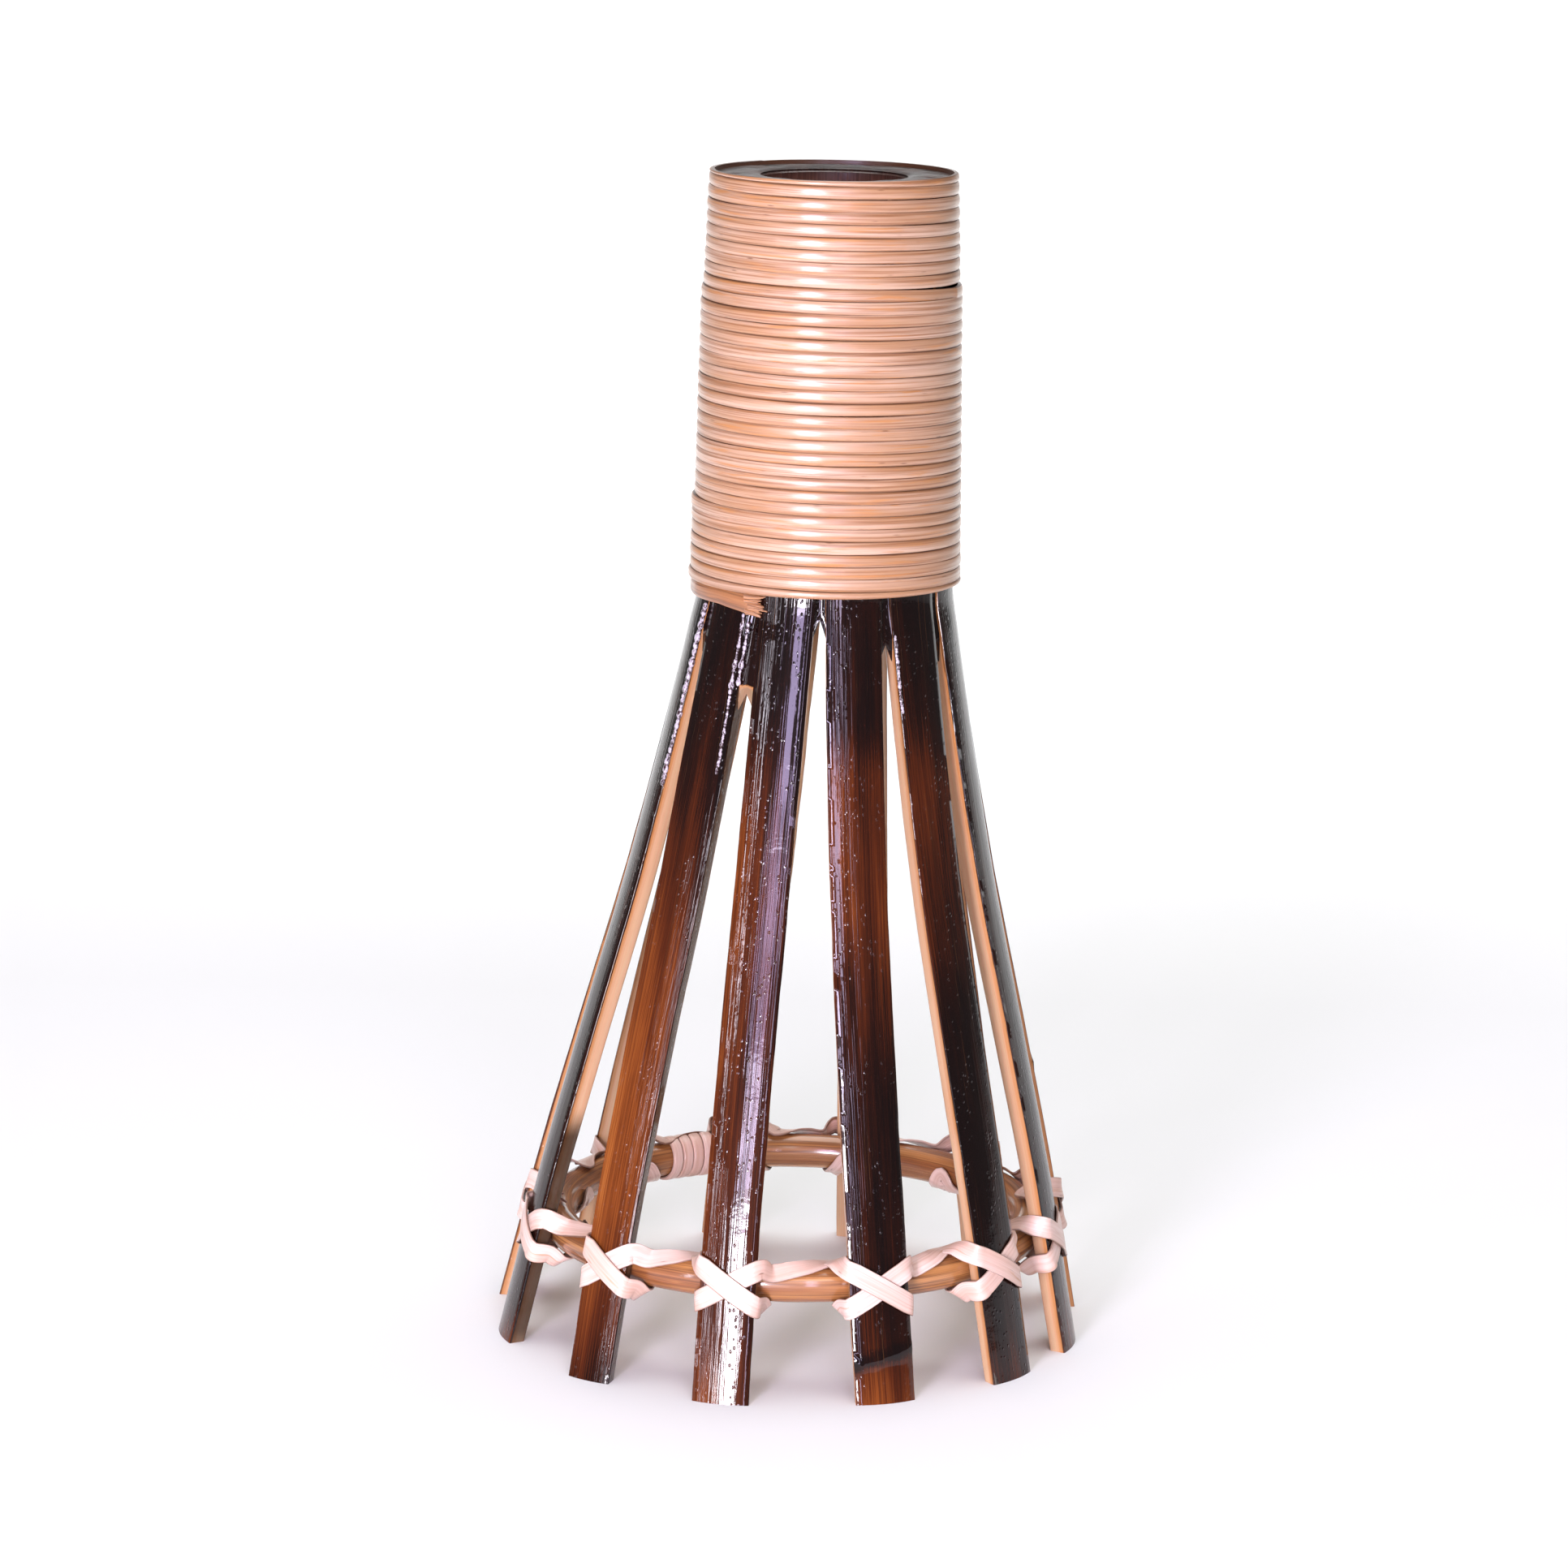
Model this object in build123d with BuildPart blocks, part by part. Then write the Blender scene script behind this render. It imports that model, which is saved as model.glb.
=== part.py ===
from build123d import *
import os
from math import cos, hypot, radians, sin, sqrt, tan

# Bamboo torch head, standing on the tips of its twelve staves.
# Millimetres, +Z up, origin at the centre of the foot ring, on the surface that it stands on.

# --- collar: core sleeve, stave heads and cane binding -----------------------------------------
COLLAR_TOP = 286.5        # top of the first cane turn
COLLAR_BOTTOM = 187.0     # underside of the last cane turn
COLLAR_X = 6.0            # the collar's axis stands this far to one side of the foot ring
HEAD_TOP = 285.3          # end face of the sleeve and the staves, inside the first turn
SLEEVE_BOTTOM = 190.0
BORE_RADIUS = 17.5
MOUTH_CHAMFER = 0.8
GLUE_GAP = 0.05

# --- staves ------------------------------------------------------------------------------------
STAVE_COUNT = 12
STAVE_PITCH = 360 / STAVE_COUNT
FIRST_ANGLE_AT_COLLAR = -77.1   # angles are measured from the front, -Y, towards +X
FOOT_ANGLES = (-72.0, -40.0, -12.0, 19.5, 49.0, 73.5, 104.0, 135.0, 165.0, 193.5, 225.0, 256.0)
SKIN_RADIUS = 28.4              # the culm that the staves were split from
EDGE_DRAFT = tan(radians(15))   # the split sides point at the culm's axis
FACE_TURN = 3.0                 # degrees that a tip on the widest side turns outwards
HEAD_WIDTH = 13.8
FOOT_WIDTHS = (13.6, 11.6, 14.0, 15.2, 14.6, 13.8, 14.2, 13.2, 13.8, 13.0, 13.6, 14.0)

# (height, radius to the crown of the skin, thickness)
HEAD_STATIONS = (
    (HEAD_TOP, 28.5, 5.8),
    (COLLAR_BOTTOM, 31.2, 5.8),
)
SPLAY_STATIONS = (
    (COLLAR_BOTTOM, 31.2, 5.8),
    (176.0, 33.1, 5.8),
    (120.0, 44.9, 5.7),
    (75.0, 56.4, 5.4),
    (40.0, 65.2, 5.1),
    (0.0, 74.1, 4.8),
)

# --- cane binding ------------------------------------------------------------------------------
TURN_PITCH = 3.0
UPPER_TURNS = 9
GROOVE_DEPTH = 0.5
BINDING_SPLIT = COLLAR_TOP - UPPER_TURNS * TURN_PITCH
LOWER_TURNS = round((BINDING_SPLIT - COLLAR_BOTTOM) / TURN_PITCH)
UPPER_CRESTS = (30.0, 31.1)     # crest radius at the top and bottom of the upper binding
LOWER_CRESTS = (31.6, 32.9)
TAIL_ARC = 52.0                 # the strip's end, tucked under the last turn
TAIL_START = -85.0
TAIL_HEIGHT = 3.4
TAIL_INNER = 32.0

# --- hoop and its ties -------------------------------------------------------------------------
HOOP_Z = 26.0
HOOP_X = COLLAR_X * HOOP_Z / COLLAR_BOTTOM
HOOP_ROD = 4.5
HOOP_RADIUS = 58.6
STRAP_THICKNESS = 1.1
STRAP_WIDTH = 5.6
STRAP_ANGLE = 30.0
STRAP_LENGTH = 23.5
LOOP_START = 6.9                # degrees to each side of the stave's middle
LOOP_ARC = 3.0
LOOP_REACH = 5.5                # half the height of a loop at the skin
LOOP_CORNER = 1.2
SKIN_CLEARANCE = 0.3
HOOP_CLEARANCE = 0.05
SPLICE_AFTER = 9                # the hoop's lap joint lies between this stave and the next, from 0
SPLICE_TURNS = 3
SPLICE_WRAP = 3.2               # degrees of the hoop under one turn

os.makedirs("parts", exist_ok=True)


def save(piece, name):
    """Label a finished piece and write its STEP file."""
    piece.part.label = name
    export_step(piece.part, f"parts/{name}.step")


def outward(angle):
    """Unit vector from the axis towards an angle measured from -Y."""
    return Vector(sin(radians(angle)), -cos(radians(angle)), 0)


def sideways(angle):
    """Unit vector along the circle at that angle."""
    return Vector(cos(radians(angle)), sin(radians(angle)), 0)


def lowered(height):
    """0 from the collar upwards, 1 at the foot."""
    return 1 - min(height / COLLAR_BOTTOM, 1)


def stave_angle(index, height):
    """Angle of a stave's middle line at a height."""
    at_collar = FIRST_ANGLE_AT_COLLAR + STAVE_PITCH * index
    return at_collar + (FOOT_ANGLES[index] - at_collar) * lowered(height)


def stave_plane(index, height, crown):
    """Level plane at the crown of a stave's skin, with +Y of the plane pointing inwards."""
    angle = stave_angle(index, height)
    facing = angle + FACE_TURN * sin(radians(angle)) * lowered(height)
    centre = Vector(COLLAR_X * (1 - lowered(height)), 0, height)
    return Plane(origin=centre + outward(angle) * crown, x_dir=sideways(facing), z_dir=(0, 0, 1))


def stave_section(plane, width, thickness):
    """Section of a stave: round skin outside, split sides, flat pith side."""
    half = width / 2
    sagitta = SKIN_RADIUS - sqrt(SKIN_RADIUS**2 - half**2)
    inner_half = half - thickness * EDGE_DRAFT
    with BuildSketch(plane) as section:
        with BuildLine():
            skin = ThreePointArc((-half, sagitta), (0, 0), (half, sagitta))
            Polyline(skin @ 1, (inner_half, thickness), (-inner_half, thickness), skin @ 0)
        make_face()
    return section.sketch


# --- core sleeve: the tapered tube that takes the pole and that the stave heads are glued round --
def sleeve_radius(height):
    """Outer radius of the sleeve, just inside the flat backs of the staves."""
    (top, top_crown, thickness), (bottom, bottom_crown, _) = HEAD_STATIONS
    crown = top_crown + (bottom_crown - top_crown) * (top - height) / (top - bottom)
    return crown - thickness - GLUE_GAP


with BuildPart() as core_sleeve:
    with BuildSketch(Plane.XZ):
        with BuildLine():
            Polyline(
                (COLLAR_X + BORE_RADIUS, SLEEVE_BOTTOM),
                (COLLAR_X + sleeve_radius(SLEEVE_BOTTOM), SLEEVE_BOTTOM),
                (COLLAR_X + sleeve_radius(HEAD_TOP), HEAD_TOP),
                (COLLAR_X + BORE_RADIUS, HEAD_TOP),
                close=True,
            )
        make_face()
    revolve(axis=Axis((COLLAR_X, 0, 0), (0, 0, 1)))
    mouth = core_sleeve.edges().filter_by(GeomType.CIRCLE).sort_by(Axis.Z)[-2:].sort_by(SortBy.RADIUS)[0]
    chamfer(mouth, MOUTH_CHAMFER)
save(core_sleeve, "core_sleeve")

# --- staves: straight heads under the binding, then splayed down to the foot --------------------
for index, foot_width in enumerate(FOOT_WIDTHS):
    with BuildPart() as stave:
        for height, crown, thickness in HEAD_STATIONS:
            add(stave_section(stave_plane(index, height, crown), HEAD_WIDTH, thickness))
        loft(ruled=True)
        for height, crown, thickness in SPLAY_STATIONS:
            width = HEAD_WIDTH + (foot_width - HEAD_WIDTH) * lowered(height)
            add(stave_section(stave_plane(index, height, crown), width, thickness))
        loft()
    save(stave, f"stave_{index + 1:02d}")


# --- cane binding: two wound lengths, drawn as rings of turns ------------------------------------
def binding_bore(height):
    """Inner radius of the binding, just outside the skins of the staves."""
    (top, top_crown, _), (bottom, bottom_crown, _) = HEAD_STATIONS
    return top_crown + (bottom_crown - top_crown) * (top - height) / (top - bottom) + GLUE_GAP


def wind_turns(top, bottom, turns, crests):
    """Turn a scalloped wall, one scallop for each turn of cane."""
    pitch = (top - bottom) / turns
    with BuildSketch(Plane.XZ) as wall:
        with BuildLine():
            for turn in range(turns):
                upper = top - turn * pitch
                crest = COLLAR_X + crests[0] + (crests[1] - crests[0]) * (turn + 0.5) / turns
                ThreePointArc(
                    (crest - GROOVE_DEPTH, upper),
                    (crest, upper - pitch / 2),
                    (crest - GROOVE_DEPTH, upper - pitch),
                )
                if turn + 1 < turns:
                    step = (crests[1] - crests[0]) / turns
                    Line((crest - GROOVE_DEPTH, upper - pitch), (crest + step - GROOVE_DEPTH, upper - pitch))
            first_crest = COLLAR_X + crests[0] + (crests[1] - crests[0]) * 0.5 / turns
            last_crest = COLLAR_X + crests[0] + (crests[1] - crests[0]) * (turns - 0.5) / turns
            Polyline(
                (first_crest - GROOVE_DEPTH, top),
                (COLLAR_X + binding_bore(top), top),
                (COLLAR_X + binding_bore(bottom), bottom),
                (last_crest - GROOVE_DEPTH, bottom),
            )
        make_face()
    revolve(wall.sketch, axis=Axis((COLLAR_X, 0, 0), (0, 0, 1)))


with BuildPart() as collar_binding_upper:
    wind_turns(COLLAR_TOP, BINDING_SPLIT, UPPER_TURNS, UPPER_CRESTS)
save(collar_binding_upper, "collar_binding_upper")

with BuildPart() as collar_binding_lower:
    wind_turns(BINDING_SPLIT, COLLAR_BOTTOM, LOWER_TURNS, LOWER_CRESTS)
    tail_plane = Plane(origin=(COLLAR_X, 0, 0), x_dir=outward(TAIL_START), z_dir=-sideways(TAIL_START))
    with BuildSketch(tail_plane):
        with Locations(((TAIL_INNER + LOWER_CRESTS[1]) / 2, COLLAR_BOTTOM - TAIL_HEIGHT / 2 + 1)):
            Rectangle(LOWER_CRESTS[1] - TAIL_INNER, TAIL_HEIGHT)
    revolve(axis=Axis((COLLAR_X, 0, 0), (0, 0, 1)), revolution_arc=TAIL_ARC)
save(collar_binding_lower, "collar_binding_lower")

# --- spreader hoop: a rattan rod bent into a ring inside the staves ------------------------------
HOOP_AXIS = Axis((HOOP_X, 0, 0), (0, 0, 1))
with BuildPart() as spreader_hoop:
    with BuildSketch(Plane.XZ):
        with Locations((HOOP_X + HOOP_RADIUS, HOOP_Z)):
            Circle(HOOP_ROD)
    revolve(axis=HOOP_AXIS)
save(spreader_hoop, "spreader_hoop")

# --- splice binding: cane turns round the hoop's lap joint ---------------------------------------
splice_angle = (stave_angle(SPLICE_AFTER, HOOP_Z) + stave_angle(SPLICE_AFTER + 1, HOOP_Z)) / 2
with BuildPart() as hoop_splice_binding:
    for turn in range(SPLICE_TURNS):
        middle = splice_angle + (turn - (SPLICE_TURNS - 1) / 2) * SPLICE_WRAP
        start = middle - SPLICE_WRAP / 2
        splice_plane = Plane(origin=(HOOP_X, 0, 0), x_dir=outward(start), z_dir=-sideways(start))
        with BuildSketch(splice_plane):
            with Locations((HOOP_RADIUS, HOOP_Z)):
                Circle(HOOP_ROD + GLUE_GAP + STRAP_THICKNESS)
                Circle(HOOP_ROD + GLUE_GAP, mode=Mode.SUBTRACT)
        revolve(axis=HOOP_AXIS, revolution_arc=SPLICE_WRAP)
save(hoop_splice_binding, "hoop_splice_binding")


# --- lashings: a cane strap crossed over each stave and taken round the hoop on both sides -------
def skin_crown(height):
    """Crown radius of a stave's skin near the hoop."""
    (high, high_crown, _), (low, low_crown, _) = SPLAY_STATIONS[-2:]
    return low_crown + (high_crown - low_crown) * (height - low) / (high - low)


SKIN_LEAN = skin_crown(HOOP_Z) - skin_crown(HOOP_Z + 1)
LEAN_LENGTH = hypot(1, SKIN_LEAN)


def add_loop(start):
    """Closed strap round the hoop that reaches out past the stave's skin, from a start angle."""
    plane = Plane(origin=(HOOP_X, 0, 0), x_dir=outward(start), z_dir=-sideways(start))
    reach = SKIN_CLEARANCE + STRAP_THICKNESS - LOOP_CORNER
    with BuildSketch(plane) as outline:
        with Locations((HOOP_RADIUS, HOOP_Z)):
            Circle(HOOP_ROD + HOOP_CLEARANCE + STRAP_THICKNESS)
        for height in (HOOP_Z - LOOP_REACH, HOOP_Z + LOOP_REACH):
            with Locations((skin_crown(height) + reach, height)):
                Circle(LOOP_CORNER)
        make_hull()
        offset(amount=-STRAP_THICKNESS, mode=Mode.SUBTRACT)
    revolve(outline.sketch, axis=HOOP_AXIS, revolution_arc=LOOP_ARC)


def strap_plane(angle):
    """Plane that lies on a stave's skin at the hoop, facing outwards."""
    normal = (outward(angle) + Vector(0, 0, SKIN_LEAN)) / LEAN_LENGTH
    crown = Vector(HOOP_X, 0, HOOP_Z) + outward(angle) * skin_crown(HOOP_Z)
    return Plane(origin=crown + normal * SKIN_CLEARANCE, x_dir=sideways(angle), z_dir=normal)


for index in range(STAVE_COUNT):
    angle = stave_angle(index, HOOP_Z)
    with BuildPart() as lashing:
        add_loop(angle + LOOP_START)
        add_loop(angle - LOOP_START - LOOP_ARC)
        with BuildSketch(strap_plane(angle)):
            for tilt in (-STRAP_ANGLE, STRAP_ANGLE):
                with Locations(Location((0, 0, 0), (0, 0, tilt))):
                    Rectangle(STRAP_LENGTH, STRAP_WIDTH)
        extrude(amount=STRAP_THICKNESS)
    save(lashing, f"lashing_{index + 1:02d}")
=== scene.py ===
"""Bamboo torch head: stained staves splayed from a cane-bound collar over a lashed rattan hoop."""
import logging
import math
from collections.abc import Sequence
from dataclasses import dataclass, field
from enum import Enum
from typing import Any

import bmesh
import bpy
from mathutils import Matrix, Vector, noise


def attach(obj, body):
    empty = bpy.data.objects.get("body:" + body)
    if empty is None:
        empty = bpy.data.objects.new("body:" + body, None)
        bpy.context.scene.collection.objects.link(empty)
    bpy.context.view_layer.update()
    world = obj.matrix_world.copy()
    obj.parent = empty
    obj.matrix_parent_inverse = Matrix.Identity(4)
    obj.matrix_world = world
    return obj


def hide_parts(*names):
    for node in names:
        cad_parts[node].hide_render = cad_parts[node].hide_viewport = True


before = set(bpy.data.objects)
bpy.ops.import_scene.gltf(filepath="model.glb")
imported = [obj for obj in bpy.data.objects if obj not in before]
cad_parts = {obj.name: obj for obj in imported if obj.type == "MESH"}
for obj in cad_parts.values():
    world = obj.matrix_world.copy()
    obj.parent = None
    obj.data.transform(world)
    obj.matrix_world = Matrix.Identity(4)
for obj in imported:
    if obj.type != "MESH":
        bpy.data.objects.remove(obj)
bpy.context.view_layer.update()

logging.basicConfig(level=logging.INFO, format="%(message)s")
log = logging.getLogger("torch_head")

MM = 0.001
BODY = "root"
BORE_RADIUS = 17.5   # of the core sleeve, millimetres
GRAIN = "grain"      # vertex vector: (along the fibres, across them, depth below the face), millimetres
STAIN = "stain"      # vertex value: 0 is bare amber lacquer, 1 is black stain

Pair = tuple[float, float]
Triple = tuple[float, float, float]
Colour = tuple[float, float, float, float]
Outline = Sequence[Pair]
Placed = tuple[Vector, Vector]      # a point in millimetres, and the unit normal there
Socket = bpy.types.NodeSocket
Material = bpy.types.Material


class Slot(Enum):
    """Material slots of the record."""

    SLEEVE = "sleeve_bamboo"
    STAVE = "stave_bamboo"
    BINDING = "binding_cane"
    HOOP = "hoop_rattan"
    LASHING = "lashing_cane"


def rgb(red: float, green: float, blue: float) -> Colour:
    """An opaque linear colour."""
    return (red, green, blue, 1.0)


def wander(place: float, seed: float, wavelength: float) -> float:
    """Smooth, repeatable wobble between about -1 and 1 along a length.

    Args:
        place: Distance along the piece.
        seed: Keeps one piece's wobble apart from another's.
        wavelength: Typical distance between two crests.

    Returns:
        The wobble at that place.
    """
    return noise.noise(Vector((place / wavelength, seed * 7.31, seed * 1.7)))


def hermite(start: Any, leaving: Any, end: Any, arriving: Any, t: float) -> Any:
    """Run from one value to another with a given slope at each.

    Args:
        start: Number or vector at t = 0.
        leaving: Slope there, times the span.
        end: Number or vector at t = 1.
        arriving: Slope there, times the span.
        t: Share of the way.

    Returns:
        The value at t.
    """
    return (
        start * ((1 + 2 * t) * (1 - t) ** 2)
        + leaving * (t * (1 - t) ** 2)
        + end * (t * t * (3 - 2 * t))
        + arriving * (t * t * (t - 1))
    )


def ease_through(stations: Outline, place: float) -> float:
    """Read a smooth curve that passes through stations and never overshoots them.

    Args:
        stations: Pairs of place and value, in rising order of place.
        place: Where the curve is read.

    Returns:
        The value there, held level beyond both ends.
    """
    if place <= stations[0][0]:
        return stations[0][1]
    if place >= stations[-1][0]:
        return stations[-1][1]
    last = len(stations) - 1
    rises = [(b[1] - a[1]) / (b[0] - a[0]) for a, b in zip(stations, stations[1:])]
    slopes = [rises[0]]
    for before, after in zip(rises, rises[1:]):
        slopes.append(2 * before * after / (before + after) if before * after > 0 else 0.0)
    slopes.append(rises[-1])
    index = next(i for i in range(last) if place <= stations[i + 1][0])
    (start, low), (end, high) = stations[index], stations[index + 1]
    span = end - start
    return hermite(low, slopes[index] * span, high, slopes[index + 1] * span, (place - start) / span)


# --- shader graphs ------------------------------------------------------------------------------
class Graph:
    """A material's node tree, with short calls for the nodes that the finishes share."""

    def __init__(self, name: str) -> None:
        """Start a material that holds a Principled shader and nothing else to set up.

        Args:
            name: The material's name.
        """
        self.material = bpy.data.materials.new(name)
        self.material.use_nodes = True
        self.tree = self.material.node_tree
        self.shader = self.tree.nodes["Principled BSDF"]

    def add(self, kind: str, inputs: dict[Any, Any] | None = None, **settings: Any) -> bpy.types.Node:
        """Add a node, set its properties, and fill or link its inputs.

        Args:
            kind: Blender's node type.
            inputs: Input names or numbers, each with a value or a socket to link.
            settings: Properties of the node.

        Returns:
            The new node.
        """
        node = self.tree.nodes.new(kind)
        for key, value in settings.items():
            setattr(node, key, value)
        self.feed(node, inputs or {})
        return node

    def feed(self, node: bpy.types.Node, inputs: dict[Any, Any]) -> None:
        """Fill or link a node's inputs.

        Args:
            node: The node that receives them.
            inputs: Input names or numbers, each with a value or a socket to link.
        """
        for key, value in inputs.items():
            if isinstance(value, Socket):
                self.tree.links.new(value, node.inputs[key])
            else:
                node.inputs[key].default_value = value

    def attribute(self, name: str, output: str = "Vector") -> Socket:
        """Read a vertex attribute of the piece."""
        return self.add("ShaderNodeAttribute", attribute_name=name).outputs[output]

    def stretch(self, source: Socket, scale: Triple) -> Socket:
        """Scale a coordinate along each axis."""
        return self.add("ShaderNodeVectorMath", {0: source, 1: scale}, operation="MULTIPLY").outputs[0]

    def noise(
        self,
        source: Socket,
        scale: Triple,
        detail: float = 3.0,
        roughness: float = 0.55,
        distortion: float = 0.0,
    ) -> Socket:
        """Fractal noise on a stretched coordinate.

        Args:
            source: The coordinate to read.
            scale: Waves for each unit of the coordinate, along each axis.
            detail: Octaves of noise.
            roughness: How strong the small octaves are.
            distortion: How much the pattern is warped.

        Returns:
            The noise value, about 0.5 on average.
        """
        inputs = {
            "Vector": self.stretch(source, scale),
            "Scale": 1.0,
            "Detail": detail,
            "Roughness": roughness,
            "Distortion": distortion,
        }
        return self.add("ShaderNodeTexNoise", inputs).outputs[0]

    def cells(self, source: Socket, scale: Triple) -> Socket:
        """Distance to the nearest of scattered points, for specks and bubbles."""
        inputs = {"Vector": self.stretch(source, scale), "Scale": 1.0}
        return self.add("ShaderNodeTexVoronoi", inputs).outputs["Distance"]

    def fit(
        self, value: Socket, low: float, high: float, start: float = 0.0, end: float = 1.0
    ) -> Socket:
        """Map a range of values smoothly to another, held level outside it.

        Args:
            value: The value to map.
            low: Input that gives start.
            high: Input that gives end.
            start: Output at and below low.
            end: Output at and above high.

        Returns:
            The mapped value.
        """
        inputs = {"Value": value, "From Min": low, "From Max": high, "To Min": start, "To Max": end}
        return self.add("ShaderNodeMapRange", inputs, interpolation_type="SMOOTHSTEP").outputs[0]

    def calc(self, operation: str, first: Any, second: Any = 0.0, clamp: bool = False) -> Socket:
        """Combine two values.

        Args:
            operation: Blender's name of the sum.
            first: A value or a socket.
            second: A value or a socket.
            clamp: Keep the result between 0 and 1.

        Returns:
            The result.
        """
        return self.add("ShaderNodeMath", {0: first, 1: second}, operation=operation, use_clamp=clamp).outputs[0]

    def blend(self, factor: Any, first: Any, second: Any, mode: str = "MIX") -> Socket:
        """Mix two colours.

        Args:
            factor: How much of the second colour, as a value or a socket.
            first: A colour or a socket.
            second: A colour or a socket.
            mode: Blender's blend mode.

        Returns:
            The mixed colour.
        """
        node = self.add("ShaderNodeMix", data_type="RGBA", blend_type=mode)
        self.feed(node, {0: factor, 6: first, 7: second})
        return node.outputs[2]

    def ramp(self, value: Socket, stops: Sequence[tuple[float, Colour]]) -> Socket:
        """Colour a value by stops.

        Args:
            value: The value to colour.
            stops: Pairs of place and colour, in rising order.

        Returns:
            The colour.
        """
        node = self.add("ShaderNodeValToRGB", {0: value})
        elements = node.color_ramp.elements
        while len(elements) < len(stops):
            elements.new(0.5)
        for element, (place, colour) in zip(elements, stops):
            element.position = place
            element.color = colour
        return node.outputs[0]

    def bump(self, height: Any, depth_mm: float, below: Any = None) -> Socket:
        """Turn a height into a shading normal.

        Args:
            height: Height from 0 to 1.
            depth_mm: How tall a height of 1 stands.
            below: A normal to build on.

        Returns:
            The normal.
        """
        inputs = {"Height": height, "Distance": depth_mm * MM}
        if below is not None:
            inputs["Normal"] = below
        return self.add("ShaderNodeBump", inputs).outputs[0]


# --- finishes -----------------------------------------------------------------------------------
@dataclass(frozen=True)
class StainedStave:
    """Bamboo with a dark, uneven stain and thick gloss lacquer on its skin and pale split sides."""

    name: str = "stained_stave"
    black: Colour = rgb(0.0050, 0.0018, 0.0018)
    dark: Colour = rgb(0.016, 0.0036, 0.0020)
    chestnut: Colour = rgb(0.070, 0.0140, 0.0036)
    amber: Colour = rgb(0.19, 0.048, 0.009)
    honey: Colour = rgb(0.36, 0.12, 0.026)
    edge_orange: Colour = rgb(0.42, 0.155, 0.035)
    split_tan: Colour = rgb(0.56, 0.31, 0.18)
    pith: Colour = rgb(0.52, 0.36, 0.21)
    coat: float = 0.75
    coat_roughness: float = 0.045

    def build(self) -> Material:
        """Make the material.

        Returns:
            The material.
        """
        graph = Graph(self.name)
        grain = graph.attribute(GRAIN)
        stain = graph.attribute(STAIN, "Fac")
        across = graph.add("ShaderNodeSeparateXYZ", {0: grain})
        depth = across.outputs["Z"]

        clouds = graph.noise(grain, (0.014, 0.16, 0.16), 4.0, 0.6, 0.3)
        streaks = graph.noise(grain, (0.018, 2.6, 2.6), 4.0, 0.65)
        hairs = graph.noise(grain, (0.09, 9.0, 9.0), 3.0, 0.7)
        cloudy = graph.fit(clouds, 0.25, 0.75, -0.16, 0.16)
        uneven = graph.calc("ADD", cloudy, graph.fit(streaks, 0.3, 0.7, -0.13, 0.13))
        shade = graph.calc("ADD", stain, uneven, clamp=True)
        skin = graph.ramp(
            shade,
            [(0.0, self.honey), (0.25, self.amber), (0.52, self.chestnut), (0.78, self.dark), (1.0, self.black)],
        )
        skin = graph.blend(graph.fit(hairs, 0.55, 0.75, 0.0, 0.35), skin, self.black)

        fibres = graph.noise(grain, (0.03, 3.2, 3.2), 4.0, 0.6)
        split = graph.blend(graph.fit(fibres, 0.3, 0.72), self.split_tan, self.pith)
        split = graph.blend(graph.fit(hairs, 0.5, 0.8, 0.0, 0.45), split, self.edge_orange)
        ragged = graph.calc("ADD", depth, graph.fit(streaks, 0.3, 0.7, -0.35, 0.35))
        split = graph.blend(graph.fit(ragged, 0.5, 2.3, 0.85, 0.0), split, self.edge_orange)
        bare = graph.calc("MULTIPLY", graph.fit(ragged, 0.25, 0.75), graph.fit(stain, 1.05, 1.6, 1.0, 0.12))
        colour = graph.blend(bare, skin, split)

        fine = graph.noise(grain, (0.05, 2.2, 2.2), 2.0, 0.5)
        broad = graph.noise(grain, (0.010, 0.45, 0.45), 1.0, 0.4)
        ribs = graph.noise(grain, (0.016, 1.05, 1.05), 1.5, 0.5)
        pimples = graph.fit(graph.cells(grain, (0.60, 0.85, 0.85)), 0.08, 0.30, 1.0, 0.0)
        patches = graph.fit(graph.noise(grain, (0.040, 0.20, 0.20), 2.0, 0.5), 0.43, 0.57)
        bubbles = graph.calc("MULTIPLY", pimples, patches)
        dry = graph.calc("MULTIPLY", bare, 0.10)
        relief = graph.bump(broad, 0.05)
        relief = graph.bump(fine, 0.006, relief)
        lacquer = graph.bump(graph.fit(ribs, 0.30, 0.70), 0.016, relief)
        lacquer = graph.bump(graph.noise(grain, (0.45, 0.35, 0.35), 2.0, 0.5), 0.030, lacquer)
        combed = graph.fit(graph.noise(grain, (0.012, 0.13, 0.13), 2.0, 0.5, 0.5), 0.44, 0.60)
        scores = graph.fit(graph.noise(grain, (0.020, 3.4, 3.4), 1.5, 0.5), 0.35, 0.65)
        lacquer = graph.bump(graph.calc("MULTIPLY", scores, combed), 0.014, lacquer)
        lacquer = graph.bump(bubbles, 0.09, lacquer)
        graph.feed(
            graph.shader,
            {
                "Base Color": colour,
                "Roughness": graph.calc("ADD", graph.fit(fine, 0.3, 0.8, 0.34, 0.52), dry),
                "Normal": relief,
                "Coat Weight": self.coat,
                "Coat Roughness": self.coat_roughness,
                "Coat Normal": lacquer,
                "IOR": 1.08,
            },
        )
        return graph.material


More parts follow.
